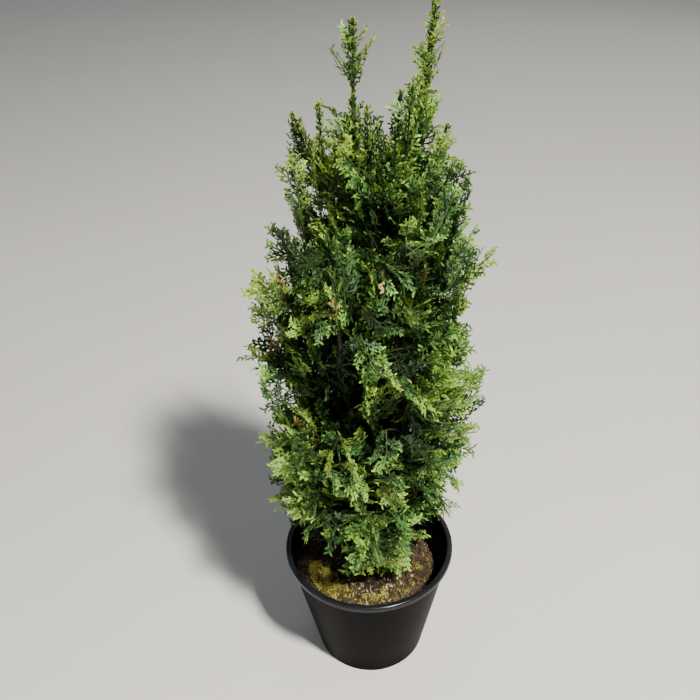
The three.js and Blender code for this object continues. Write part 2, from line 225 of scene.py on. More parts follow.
def worn(name, base, dust, amount, scale, rough, bump=0.0, specular=0.5):
    """A material of one stuff under the dusty film; rough is its lowest and highest roughness."""
    material = bpy.data.materials.new(name)
    material.use_nodes = True
    tree = material.node_tree
    shader = tree.nodes["Principled BSDF"]
    shader.inputs["Specular IOR Level"].default_value = specular
    film = tree.nodes.new("ShaderNodeGroup")
    film.node_tree = wear
    film.inputs["Base"].default_value = (*base, 1)
    film.inputs["Dust"].default_value = (*dust, 1)
    film.inputs["Amount"].default_value = amount
    film.inputs["Scale"].default_value = scale
    film.inputs["Roughness Low"].default_value = rough[0]
    film.inputs["Roughness High"].default_value = rough[1]
    tree.links.new(film.outputs["Color"], shader.inputs["Base Color"])
    tree.links.new(film.outputs["Roughness"], shader.inputs["Roughness"])
    if bump:
        relief = tree.nodes.new("ShaderNodeBump")
        relief.inputs["Distance"].default_value = bump
        tree.links.new(film.outputs["Height"], relief.inputs["Height"])
        tree.links.new(relief.outputs["Normal"], shader.inputs["Normal"])
    return material


def by_height(material, start, stop, colours, shine=0.0, coat_rough=0.0):
    """Let a material's colour and its dust change between two heights, and a coat's shine begin."""
    tree = material.node_tree
    film = next(node for node in tree.nodes if node.type == "GROUP")
    place = tree.nodes.new("ShaderNodeTexCoord")
    split = tree.nodes.new("ShaderNodeSeparateXYZ")
    reached = tree.nodes.new("ShaderNodeMapRange")
    reached.inputs["From Min"].default_value = start
    reached.inputs["From Max"].default_value = stop
    tree.links.new(place.outputs["Object"], split.inputs["Vector"])
    tree.links.new(split.outputs["Z"], reached.inputs["Value"])
    for socket, below, above in colours:
        change = tree.nodes.new("ShaderNodeMix")
        change.data_type = "RGBA"
        change.inputs["A"].default_value = (*below, 1)
        change.inputs["B"].default_value = (*above, 1)
        tree.links.new(reached.outputs["Result"], change.inputs["Factor"])
        tree.links.new(change.outputs["Result"], film.inputs[socket])
    if shine:
        coat = tree.nodes.new("ShaderNodeMath")
        coat.operation = "MULTIPLY"
        coat.inputs[1].default_value = shine
        shader = tree.nodes["Principled BSDF"]
        shader.inputs["Coat Roughness"].default_value = coat_rough
        tree.links.new(reached.outputs["Result"], coat.inputs[0])
        tree.links.new(coat.outputs["Value"], shader.inputs["Coat Weight"])


# The pot's plastic: black under a thin brown film on the wall, with a glossier lip that is a little lighter
# and bluer, a painted reflection of the sky
LIP_COAT_ROUGH = 0.22
LIP_SHINE = 0.6
LIP_BLUR = 0.0005
BLACK = (0.003, 0.003, 0.004)
WALL_DUST = (0.018, 0.0155, 0.011)
plastic = worn("pot_plastic", BLACK, WALL_DUST, 0.5, 22, (0.3, 0.48), 0.0001, 0.007)
# The lip's lighter, bluer colours are a painted reflection of the sky; its gloss comes from the coat
lip_sky_reflection_colours = [("Base", BLACK, (0.006, 0.006, 0.009)), ("Dust", WALL_DUST, (0.02, 0.02, 0.025))]
by_height(plastic, lip_foot - LIP_BLUR, lip_foot + LIP_BLUR, lip_sky_reflection_colours, LIP_SHINE, LIP_COAT_ROUGH)
pot.data.materials.clear()
pot.data.materials.append(plastic)
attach(pot, "root")
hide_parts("pot")

# Compost: the crumbly top of the root ball, of dark peat. It lies in the pot and has shrunk from the
# wall on the right, where its side drops into shadow.
COMPOST_RINGS = 56
COMPOST_STEPS = 120
COMPOST_SIDE = [(1.0, 0.007), (0.97, 0.014), (0.92, 0.026)]
EDGE_STEP = 0.0005
EDGE_SLOPE = 0.35
EDGE_GAP = 0.0003
UNDER_EDGE = 0.97
FINE_LUMPS = 160
FINE_RISE = 0.0019
BROAD_LUMPS = 70
BROAD_RISE = 0.0022
DOWN = Vector((0, 0, -1))
compost_random = np.random.default_rng(3)


def surface_of(*names):
    """A search tree over the triangles of these frame nodes."""
    corners, faces = [], []
    for name in names:
        first = len(corners)
        corners += [v.co.copy() for v in nodes[name].data.vertices]
        faces += [[first + i for i in p.vertices] for p in nodes[name].data.polygons]
    return BVHTree.FromPolygons(corners, faces)


def under(tree, x, y):
    """Where a line straight down from the pot's lip meets a surface, and the normal there."""
    return tree.ray_cast(Vector((x, y, POT_HEIGHT)), DOWN)[:2]


def compost_reach(turn):
    """How far the compost's top reaches from the pot's axis in a direction, read from the frame."""
    for radius in np.arange(LIP_RADIUS, RING_INNER, -EDGE_STEP):
        hit, normal = under(compost_top, radius * math.cos(turn), radius * math.sin(turn))
        if hit and normal.z > EDGE_SLOPE:
            return radius - EDGE_GAP
    return RING_INNER


def compost_edge(turn):
    """How far the compost reaches in any direction, between those that were measured."""
    return np.interp(turn, turns, reaches, period=2 * np.pi)


def compost_height(x, y):
    """Height of the compost at a place, read from the frame."""
    hit = under(compost_top, x, y)[0]
    return hit.z if hit else compost_mean


def loose(place):
    """The small ups and downs of the loose surface at a place."""
    fine = noise.fractal(place * FINE_LUMPS, 0.7, 2.2, 4) * FINE_RISE
    return fine + noise.noise(place * BROAD_LUMPS) * BROAD_RISE


compost_top = surface_of("soil")
litter_bed = surface_of("soil", "moss_front", "moss_right")
compost_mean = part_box("trunk")[0].z
turns = np.linspace(0, 2 * np.pi, COMPOST_STEPS, endpoint=False)
reaches = np.array([compost_reach(turn) for turn in turns])
line = [(i / COMPOST_RINGS, 0) for i in range(COMPOST_RINGS + 1)]
bm = turned(line + [(share, -drop) for share, drop in COMPOST_SIDE], COMPOST_STEPS)
for vert in bm.verts:
    turn = math.atan2(vert.co.y, vert.co.x)
    reach = compost_edge(turn)
    drop = vert.co.z
    share = math.hypot(vert.co.x, vert.co.y)
    x, y = math.cos(turn) * share * reach, math.sin(turn) * share * reach
    if drop == 0:
        vert.co = Vector((x, y, compost_height(x, y)))
        vert.co.z += loose(vert.co)
    else:
        vert.co = Vector((x, y, compost_height(x * UNDER_EDGE / share, y * UNDER_EDGE / share) + drop))
bmesh.ops.recalc_face_normals(bm, faces=bm.faces)
compost = modelled("compost_top", bm)
compost.data.materials.append(
    worn("compost", (0.02, 0.013, 0.009), (0.1, 0.067, 0.044), 0.8, 240, (0.85, 1), 0.0006, 0.25)
)
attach(compost, "root")
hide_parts("soil")

# Crumbs and litter: loose bits of peat, bark and wood that lie on the compost and on its thin moss.
# The crumbs are rounded and the litter is flat; the pale flakes lie mostly in the middle of the front.
CRUMBS = 3200
CRUMB_SIZE = (0.0007, 0.0023)
CRUMB_UNEVEN = (0.5, 1.3)
CRUMB_REACH = 0.96
LITTER_REACH = 0.94
FLAKES = 900
FLAKE_CORNER = 0.28
FLAKE_LIFT = 0.001
FLAKE_TILT = 0.35
FLAKE_THICK = (0.0004, 0.0009)
SLENDER_SHARE = 0.5
SLENDER_LONG = (0.004, 0.009)
SLENDER_WIDE = (0.0006, 0.0012)
BROAD_LONG = (0.002, 0.0055)
BROAD_WIDE = (0.0014, 0.0034)
PALE_BEFORE = -0.03
PALE_HALF = 0.035
PALE_SHARE = 0.4
PALE_STRAY = 0.05


def scattered(name, shape, places, turns, sizes):
    """One joined mesh of copies of a small shape, each turned and sized in its own way."""
    corners = np.array([v.co for v in shape.verts])
    faces = np.array([[v.index for v in f.verts] for f in shape.faces])
    moved = np.einsum("nij,nkj->nki", turns, corners[None] * sizes[:, None, :]) + places[:, None, :]
    joined = faces[None] + (np.arange(len(places)) * len(corners))[:, None, None]
    mesh = bpy.data.meshes.new(name)
    mesh.from_pydata(moved.reshape(-1, 3).tolist(), [], joined.reshape(-1, faces.shape[1]).tolist())
    return placed(name, mesh)


def any_turns(random, count):
    """Random rotation matrices, from random directions set square to one another."""
    first = random.normal(size=(count, 3))
    first /= np.linalg.norm(first, axis=1)[:, None]
    second = np.cross(first, random.normal(size=(count, 3)))
    second /= np.linalg.norm(second, axis=1)[:, None]
    return np.stack([first, second, np.cross(first, second)], axis=2)


def on_compost(random, count, spread):
    """Random places on the compost and its thin moss, evenly spread over a share of its round surface."""
    turn = 2 * np.pi * random.random(count)
    radius = compost_edge(turn) * spread * np.sqrt(random.random(count))
    made = [under(litter_bed, x, y)[0] for x, y in zip(radius * np.cos(turn), radius * np.sin(turn))]
    return np.array([(*place.xy, place.z + max(loose(place), 0)) for place in made if place])


crumb_shape = bmesh.new()
bmesh.ops.create_icosphere(crumb_shape, subdivisions=1, radius=1)
crumb_shape.verts.index_update()
crumb_places = on_compost(compost_random, CRUMBS, CRUMB_REACH)
crumb_count = len(crumb_places)
crumb_sizes = compost_random.uniform(*CRUMB_SIZE, (crumb_count, 1))
crumb_sizes = crumb_sizes * compost_random.uniform(*CRUMB_UNEVEN, (crumb_count, 3))
crumb_turns = any_turns(compost_random, crumb_count)
crumbs = scattered("compost_crumbs", crumb_shape, crumb_places, crumb_turns, crumb_sizes)
crumb_shape.free()
crumbs.data.materials.append(
    worn("crumbs", (0.018, 0.012, 0.008), (0.1, 0.066, 0.042), 0.85, 260, (0.8, 1), 0, 0.25)
)
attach(crumbs, "root")

flake_shape = bmesh.new()
bmesh.ops.create_cube(flake_shape, size=1)
bmesh.ops.bevel(
    flake_shape,
    geom=[e for e in flake_shape.edges if abs(e.verts[0].co.z - e.verts[1].co.z) > 0.5],
    offset=FLAKE_CORNER,
    segments=1,
    affect="EDGES",
)
bmesh.ops.triangulate(flake_shape, faces=flake_shape.faces)
flake_shape.verts.index_update()
flake_places = on_compost(compost_random, FLAKES, LITTER_REACH)
flake_places[:, 2] += FLAKE_LIFT
flake_count = len(flake_places)
slender = compost_random.random(flake_count) < SLENDER_SHARE
slender_long = compost_random.uniform(*SLENDER_LONG, flake_count)
broad_long = compost_random.uniform(*BROAD_LONG, flake_count)
slender_wide = compost_random.uniform(*SLENDER_WIDE, flake_count)
broad_wide = compost_random.uniform(*BROAD_WIDE, flake_count)
flake_thick = compost_random.uniform(*FLAKE_THICK, flake_count)
flake_long = np.where(slender, slender_long, broad_long)
flake_wide = np.where(slender, slender_wide, broad_wide)
flake_sizes = np.stack([flake_long, flake_wide, flake_thick], axis=1)
flake_turns = []
for _ in range(flake_count):
    heading = Matrix.Rotation(compost_random.uniform(0, 2 * math.pi), 3, "Z")
    rolled = Matrix.Rotation(compost_random.normal(0, FLAKE_TILT), 3, "X")
    tipped = Matrix.Rotation(compost_random.normal(0, FLAKE_TILT), 3, "Y")
    flake_turns.append(np.array(heading @ rolled @ tipped))
flake_turns = np.array(flake_turns)
in_front = (flake_places[:, 1] < PALE_BEFORE) & (abs(flake_places[:, 0]) < PALE_HALF)
pale = compost_random.random(flake_count) < np.where(in_front, PALE_SHARE, PALE_STRAY)
for name, chosen, light, dark in [
    ("litter_flakes", pale, (0.52, 0.4, 0.27), (0.2, 0.13, 0.08)),
    ("litter_bits", ~pale, (0.1, 0.056, 0.026), (0.028, 0.017, 0.01)),
]:
    litter = scattered(name, flake_shape, flake_places[chosen], flake_turns[chosen], flake_sizes[chosen])
    litter.data.materials.append(worn(name, light, dark, 0.95, 110, (0.7, 0.95), 0, 0.3))
    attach(litter, "root")
flake_shape.free()

# Moss: low cushions of short, upright, yellow-green shoots, grown into the compost's surface.
# Each shoot is a pointed, three-sided tuft on a lumpy, darker mound.
MOSS_NAMES = [name for name in nodes if name.startswith("moss")]
MOSS_MERGE = 1e-5
MOSS_SHOOTS = 16000
MOSS_LUMP = 0.0024
MOSS_LUMPS = 105
MOSS_SMALL_LUMP = 0.0008
MOSS_SMALL_LUMPS = 260
# Tones of the moss patches: besides the moss's own colours, the left is raised as a painted pool of
# sunlight and the right lowered as painted shade by the pot's wall
MOSS_TONES_AND_LIGHT = {"moss_left": 0.36, "moss_front": -0.6, "moss_right": -0.85}
MOSS_GOLD_TO = -0.062
MOSS_FADE = 22
MOSS_UNEVEN = 0.4
MOSS_SPREAD = 0.004
MOSS_STRAY = 0.06
MOSS_SUNK = 0.0004
MOSS_STRAY_LIFT = 0.0002
MOSS_DARKER = 0.55
MOSS_STRAY_TONE = -0.2
TUFT_TALL = (0.0014, 0.0034)
TUFT_GROWN = 1.25
TUFT_STUNTED = 0.8
TUFT_STUNTED_BELOW = -0.4
TUFT_WIDE = 0.6
TUFT_LEAN = 0.45
TUFT_FOOT = 0.32
MOSS_KINDS = [
    ("moss_gold", (0.7, 0.62, 0.14), 0.12, 9),
    ("moss_olive", (0.2, 0.18, 0.035), -0.25, 0.12),
    ("moss_brown", (0.055, 0.042, 0.02), -9, -0.25),
]
moss_random = np.random.default_rng(8)
moss_top = surface_of(*MOSS_NAMES)


def moss_lump(place):
    """How far the cushion's lumps rise or sink at a place."""
    broad, small = noise.noise(place * MOSS_LUMPS), noise.noise(place * MOSS_SMALL_LUMPS)
    return MOSS_LUMP * broad + MOSS_SMALL_LUMP * small


bm = bmesh.new()
for name in MOSS_NAMES:
    bm.from_mesh(nodes[name].data)
bmesh.ops.remove_doubles(bm, verts=bm.verts, dist=MOSS_MERGE)
bmesh.ops.subdivide_edges(bm, edges=bm.edges, cuts=3, use_grid_fill=True)
bmesh.ops.smooth_vert(bm, verts=bm.verts, factor=0.5, use_axis_x=True, use_axis_y=True, use_axis_z=True)
for vert in bm.verts:
    vert.co.z += moss_lump(vert.co)
mounds = modelled("moss_mounds", bm)
mounds.data.materials.append(
    worn("moss_mound", (0.028, 0.025, 0.009), (0.07, 0.052, 0.022), 0.7, 120, (0.9, 1), 0.0004, 0.2)
)
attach(mounds, "root")
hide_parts(*MOSS_NAMES)

moss_boxes = [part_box(name) for name in MOSS_NAMES]
places, tones = [], []
while len(places) < MOSS_SHOOTS:
    patch = moss_random.integers(len(MOSS_NAMES))
    low, high = moss_boxes[patch]
    x = moss_random.uniform(low.x - MOSS_SPREAD, high.x + MOSS_SPREAD)
    y = moss_random.uniform(low.y - MOSS_SPREAD, high.y + MOSS_SPREAD)
    hit = under(moss_top, x, y)[0]
    if hit:
        lump = moss_lump(hit)
        places.append((x, y, hit.z + lump - MOSS_SUNK))
        faded = max(0, x - MOSS_GOLD_TO) * MOSS_FADE if MOSS_NAMES[patch] == "moss_left" else 0
        tones.append(lump / MOSS_LUMP + MOSS_TONES_AND_LIGHT[MOSS_NAMES[patch]] - faded)
    elif moss_random.random() < MOSS_STRAY:
        if math.hypot(x, y) < compost_edge(math.atan2(y, x)) * LITTER_REACH:
            places.append((x, y, compost_height(x, y) + MOSS_STRAY_LIFT))
            tones.append(MOSS_STRAY_TONE)
places = np.array(places)
tones = np.array(tones) + moss_random.normal(0, MOSS_UNEVEN, MOSS_SHOOTS)
tuft_shape = bmesh.new()
bmesh.ops.create_cone(tuft_shape, cap_ends=False, segments=3, radius1=TUFT_FOOT, radius2=0.0, depth=1)
bmesh.ops.translate(tuft_shape, verts=tuft_shape.verts, vec=(0, 0, 0.5))
bmesh.ops.triangulate(tuft_shape, faces=tuft_shape.faces)
tuft_shape.verts.index_update()
lean = moss_random.normal(0, TUFT_LEAN, (MOSS_SHOOTS, 2))
spin = moss_random.uniform(0, 2 * np.pi, MOSS_SHOOTS)
tuft_turns = []
for (a, b), c in zip(lean, spin):
    turn = Matrix.Rotation(a, 3, "X") @ Matrix.Rotation(b, 3, "Y") @ Matrix.Rotation(c, 3, "Z")
    tuft_turns.append(np.array(turn))
tuft_turns = np.array(tuft_turns)
tall = moss_random.uniform(*TUFT_TALL, MOSS_SHOOTS)
tall = tall * np.where(tones > TUFT_STUNTED_BELOW, TUFT_GROWN, TUFT_STUNTED)
tuft_sizes = np.stack([tall * TUFT_WIDE, tall * TUFT_WIDE, tall], axis=1)
for name, colour, least, most in MOSS_KINDS:
    chosen = (tones >= least) & (tones < most)
    shoots = scattered(name, tuft_shape, places[chosen], tuft_turns[chosen], tuft_sizes[chosen])
    darker = tuple(c * MOSS_DARKER for c in colour)
    shoots.data.materials.append(worn(name, colour, darker, 0.8, 300, (0.8, 1), 0, 0.2))
    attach(shoots, "root")
tuft_shape.free()

# Stems and boughs: the trunk, the second leader and the boughs, in thin, fibrous, red-brown bark.
# They rise from the compost, and each follows its own solid of the frame.
STEM_STEP = 0.004
BOUGH_CUTS = 0.003
END_INSET = 0.0004
BARK_RELIEF = 0.0007
FIBRE_ACROSS = 420
FIBRE_ALONG = 45
SMOOTHEST = 0.15
GREEN_STEM_FROM = 0.44
GREEN_STEM_OVER = 0.1
SMOOTHER_FROM = POT_HEIGHT * 3
SMOOTH_AT = POT_HEIGHT * 4
BOUGH_SLIM = 0.6
BARK = (0.016, 0.010, 0.0055)
BARK_PALE = (0.028, 0.018, 0.0105)
BOUGH_NAMES = sorted(name for name in nodes if name.startswith("bough_to_"))
MASS_NAMES = sorted(
    name
    for name in nodes
    if name not in ("pot", "soil", "trunk", "leader") and not name.startswith(("bough_to_", "moss"))
)


def triangles_of(name):
    """The triangles of a frame node, as an array of three corners each."""
    mesh = nodes[name].data
    mesh.calc_loop_triangles()
    corners = np.empty(len(mesh.vertices) * 3, np.float32)
    mesh.vertices.foreach_get("co", corners)
    index = np.empty(len(mesh.loop_triangles) * 3, np.int32)
    mesh.loop_triangles.foreach_get("vertices", index)
    return corners.reshape(-1, 3)[index].reshape(-1, 3, 3).astype(float)


def course_of(name, step=STEM_STEP):
    """The middle line and radius of a limb, from level cuts through its solid."""
    faces = triangles_of(name)
    starts = faces[:, [0, 1, 2]].reshape(-1, 3)
    ends = faces[:, [1, 2, 0]].reshape(-1, 3)
    low, high = faces[..., 2].min(), faces[..., 2].max()
    middles, radii = [], []
    for height in np.linspace(low + END_INSET, high - END_INSET, max(3, round((high - low) / step))):
        crossing = (starts[:, 2] - height) * (ends[:, 2] - height) < 0
        a, b = starts[crossing], ends[crossing]
        points = a + (b - a) * ((height - a[:, 2]) / (b[:, 2] - a[:, 2]))[:, None]
        if len(points) < 6:
            continue
        middle = (points.min(0) + points.max(0)) / 2
        middles.append(middle)
        radii.append(np.linalg.norm(points - middle, axis=1).min())
    return np.array(middles), np.array(radii)


stem_courses = {name: course_of(name) for name in ["trunk", "leader"]}
# The leader's course ends one cut short of its tip, where the last sprays stand
stem_courses["leader"] = tuple(part[:-1] for part in stem_courses["leader"])
bough_courses = {name: course_of(name, BOUGH_CUTS) for name in BOUGH_NAMES}


def tubes(name, courses, sides):
    """One mesh of round limbs, each swept along its own line of places with its own radii."""
    curve = bpy.data.curves.new(name, "CURVE")
    curve.dimensions = "3D"
    curve.bevel_depth = 1
    curve.bevel_resolution = sides
    curve.use_fill_caps = True
    for middles, radii in courses:
        spline = curve.splines.new("POLY")
        spline.points.add(len(middles) - 1)
        spline.points.foreach_set("co", np.column_stack([middles, np.ones(len(middles))]).ravel())
        spline.points.foreach_set("radius", np.asarray(radii, float))
    swept = placed(name, curve)
    mesh = as_mesh(swept)
    bpy.data.objects.remove(swept)
    mesh.materials.clear()
    return placed(name, mesh)


slimmed = [(line, radii * np.linspace(1, BOUGH_SLIM, len(radii))) for line, radii in bough_courses.values()]
stems = tubes("stems", [*stem_courses.values(), *slimmed], 7)
for vert in stems.data.vertices:
    stretched = Vector((vert.co.x * FIBRE_ACROSS, vert.co.y * FIBRE_ACROSS, vert.co.z * FIBRE_ALONG))
    fibre = noise.fractal(stretched, 0.8, 2.1, 3)
    thin = min(1, (SMOOTH_AT - vert.co.z) / (SMOOTH_AT - SMOOTHER_FROM))
    vert.co += vert.normal * fibre * BARK_RELIEF * max(thin, SMOOTHEST)
bark = worn("bark", BARK, BARK_PALE, 0.9, 130, (0.75, 0.95), 0.0006, 0.3)
young_bark = [("Base", BARK, (0.014, 0.024, 0.006)), ("Dust", BARK_PALE, (0.024, 0.04, 0.01))]
by_height(bark, GREEN_STEM_FROM, GREEN_STEM_FROM + GREEN_STEM_OVER, young_bark)
stems.data.materials.append(bark)
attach(stems, "root")
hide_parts("trunk", "leader", *BOUGH_NAMES)

# Plumes: the leafy shoots of the crown. Each mass hangs on a spine that grows on from its bough or
# from the trunk; a twig leaves the spine and turns into a plume, whose last part carries the sprays.
# How steeply a plume climbs is in degrees.
SPINE_POINTS = 9
SPINE_ROOT = 0.0022
SPINE_TIP = 0.0008
AXIS_POINTS = 7
STALK_POINTS = 4
PLUME_SPACING = 0.0235
PLUME_LONG = (0.062, 0.1)
PLUME_TRIES = 10
FAR_TIPS = 6
PEAK_TIPS = 3
SEAM_WIDTH = 0.003
FACING_IN = -0.3
FACING_UP = 0.3
START_COVER = 0.012
PULL_STEPS = 12
PULL_SHARE = 0.14
CLIMB_AT_FOOT = 22
CLIMB_GAIN = 66
CLIMB_CURVE = 0.55
CLIMB_SPREAD = 10
CLIMB_LIMITS = (-25, 84)
SKIRT_DIP = 0.5
SWING = 0.22
INNER_SHORT = 0.8
ARCH_AT_FOOT = 0.16
ARCH_LOSS = 0.22
ARCH_SPREAD = 0.04
ARCH_UP = 0.8
ARCH_OUT = 0.4
STALK_DROP = 0.5
STALK_BEND = (0.6, 0.6, 0.35)
SPINE_KNEE = (0.45, 0.45, 0.6)
SPINE_REACH = 0.55
SPINE_BELOW = 0.01
SPINE_CLEAR = 0.012
growth = np.random.default_rng(21)
height_low = min(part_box(name)[0].z for name in MASS_NAMES)
height_high = cad_high.z
UP = np.array((0.0, 0.0, 1.0))


def unit(vector):
    """Vectors of length one, along the last axis."""
    return vector / np.maximum(np.linalg.norm(vector, axis=-1, keepdims=True), 1e-9)


def lengths(line):
    """How far along a line of places each of them is."""
    return np.concatenate([[0], np.cumsum(np.linalg.norm(np.diff(line, axis=0), axis=1))])


def place_on(line, measure, reached):
    """The place on a line where a measure that grows along it has reached a value."""
    return np.array([np.interp(reached, measure, line[:, axis]) for axis in range(3)])


def stem_point(stem, height):
    """The place on a stem at a height."""
    middles = stem_courses[stem][0]
    return place_on(middles, middles[:, 2], height)


def outward(place):
    """The level direction from the trunk to a place."""
    return unit((place - stem_point("trunk", place[2])) * (1, 1, 0))


def up_crown(height):
    """A height as a share of the crown's own height."""
    return np.clip((height - height_low) / (height_high - height_low), 0, 1)


def curved(points, count):
    """A smooth line of places through a few given ones."""
    points = np.asarray(points)
    along = lengths(points)
    ends = np.vstack([2 * points[0] - points[1], points, 2 * points[-1] - points[-2]])
    made = []
    for distance in np.linspace(0, along[-1], count):
        i = min(np.searchsorted(along, distance, side="right") - 1, len(points) - 2)
        t = (distance - along[i]) / (along[i + 1] - along[i])
        a, b, c, d = ends[i : i + 4]
        square, cube = 2 * a - 5 * b + 4 * c - d, 3 * b - 3 * c + d - a
        made.append(0.5 * (2 * b + (c - a) * t + square * t**2 + cube * t**3))
    return np.array(made)


def spine_of(name, middle, top):
    """The spine of a mass and its radii: a limb that grows on from its bough or the trunk into the mass."""
    bough = bough_courses.get(f"bough_to_{name}")
    if bough:
        root = bough[0][-1]
        thick = bough[1][-1] * BOUGH_SLIM
    else:
        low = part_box(name)[0].z
        root = stem_point("trunk", max(low - SPINE_BELOW, compost_mean + SPINE_CLEAR))
        thick = SPINE_ROOT
    knee = root + (middle - root) * SPINE_KNEE
    line = curved([root, knee, middle, middle + (top - middle) * SPINE_REACH], SPINE_POINTS)
    return line, np.linspace(thick, SPINE_TIP, SPINE_POINTS)


# View: where the picture is seen from, looking down at the plant from the front with a slight roll.
# The features of the crown that follow are set by their places in the picture, in its pixels.
PICTURE = 700
FOCAL_PIXELS = 850
PITCH = math.radians(34.49)
ROLL = math.radians(-1.89)
EYE = Vector((-0.0143, -0.673, 0.877))
view_ahead = Vector((0, math.cos(PITCH), -math.sin(PITCH)))
view_level = Vector((0, math.sin(PITCH), math.cos(PITCH)))
view_right = Vector((1, 0, 0)) * math.cos(ROLL) + view_level * math.sin(ROLL)
view_up = view_level * math.cos(ROLL) - Vector((1, 0, 0)) * math.sin(ROLL)


def seen_at(place):
    """The picture's pixel at which a place is seen."""
    way = Vector(place) - EYE
    scale = FOCAL_PIXELS / way.dot(view_ahead)
    return PICTURE / 2 + way.dot(view_right) * scale, PICTURE / 2 - way.dot(view_up) * scale


# Hollows of the crown, as (pixel across, pixel down, half width, half height): only few of the outer
# sprays lie over them, and those are painted darker, as the hollows' shade
HOLLOWS = [
    (383, 230, 13, 32),
    (368, 216, 9, 16),
    (333, 386, 29, 47),
    (312, 345, 10, 16),
    (409, 357, 19, 34),
    (404, 423, 26, 13),
    (415, 454, 16, 20),
    (368, 440, 7, 24),
    (322, 468, 7, 16),
    (344, 508, 18, 9),
    (373, 508, 11, 6),
    (330, 522, 16, 7),
    (318, 553, 36, 14),
    (430, 545, 16, 24),
    (424, 488, 7, 14),
    (436, 300, 8, 26),
    (272, 390, 8, 12),
    (392, 128, 7, 9),
]
HOLLOW_OPEN = 0.75
HOLLOW_SHADE = 0.25
# Gaps at the crown's foot and edges, in the same measure: only sprays that stand out lie over them
GAPS = [
    (318, 555, 34, 18),
    (286, 550, 14, 12),
    (432, 546, 20, 30),
    (424, 582, 16, 18),
    (380, 593, 60, 16),
    (482, 292, 11, 12),
    (486, 338, 13, 14),
    (289, 530, 12, 9),
]
# Sprays that stand out, as the picture's places they pass on their way out, in their order
FRONT_PLUMES = [
    [(360, 334), (368, 354), (377, 374)],
    [(380, 362), (392, 386), (414, 398), (436, 414)],
    [(370, 366), (363, 382), (367, 402)],
    [(428, 408), (452, 398), (478, 376)],
    [(432, 412), (458, 408), (474, 396)],
    [(436, 420), (456, 428), (466, 440)],
    [(430, 392), (446, 386), (462, 378)],
    [(434, 456), (446, 472), (456, 487)],
    [(430, 482), (437, 494), (443, 506)],
    [(386, 430), (388, 450), (384, 470)],
    [(386, 462), (392, 484), (394, 506)],
    [(340, 436), (332, 451), (326, 463)],
    [(340, 438), (346, 454), (352, 468)],
    [(326, 474), (342, 487), (362, 500)],
    [(330, 469), (348, 477), (366, 487)],
    [(308, 432), (288, 440), (268, 446)],
    [(306, 444), (290, 456), (274, 464)],
    [(312, 450), (304, 466), (292, 478)],
    [(318, 500), (298, 500), (277, 496)],
    [(318, 498), (308, 509), (297, 516)],
    [(324, 510), (316, 521), (309, 529)],
    [(350, 520), (338, 528), (327, 534)],
    [(372, 512), (360, 526), (350, 536)],
    [(374, 516), (372, 536), (362, 550)],
    [(384, 514), (390, 534), (388, 552)],
    [(388, 510), (396, 518), (404, 526)],
    [(374, 540), (364, 552), (353, 558)],
    [(376, 542), (372, 556), (370, 568)],
    [(386, 538), (390, 552), (388, 564)],
    [(388, 530), (396, 540), (402, 547)],
    [(362, 306), (374, 318), (388, 334)],
    [(392, 310), (408, 306), (424, 314)],
    [(338, 330), (336, 304), (331, 274)],
    [(300, 212), (297, 186), (291, 158)],
    [(318, 200), (314, 172), (311, 143)],
    [(286, 310), (272, 296), (254, 286)],
    [(440, 296), (464, 274), (491, 256)],
    [(300, 262), (286, 246), (274, 228)],
    [(284, 330), (268, 319), (253, 310)],
    [(284, 304), (268, 290), (255, 283)],
    [(292, 394), (278, 385), (262, 374)],
    [(290, 406), (276, 398), (264, 390)],
    [(450, 200), (458, 182), (462, 164)],
    [(454, 224), (464, 206), (470, 190)],
    [(432, 240), (446, 214), (456, 190)],
    [(450, 290), (462, 262), (470, 238)],
]
# Sprays in front of those, in the same measure
COVER_PLUMES = [
    [(386, 370), (400, 384), (416, 395), (436, 408)],
    [(412, 406), (424, 418), (432, 434)],
    [(380, 272), (386, 281), (392, 292)],
    [(316, 314), (322, 322), (327, 331)],
    [(420, 452), (428, 462), (434, 474)],
]
# Sprays that veil the limbs, in the same measure: lit ones, and ones within the hollows painted dark as
# shade
VEIL_PLUMES = [
    [(298, 252), (308, 262), (319, 272)],
    [(406, 256), (418, 248), (432, 238)],
    [(386, 264), (396, 270), (408, 276)],
    [(402, 436), (414, 446), (428, 456)],
    [(408, 478), (420, 488), (431, 498)],
]
DARK_VEILS = [
    [(406, 408), (412, 418), (418, 430)],
    [(388, 352), (398, 360), (409, 370)],
    [(339, 328), (340, 344), (341, 362)],
]
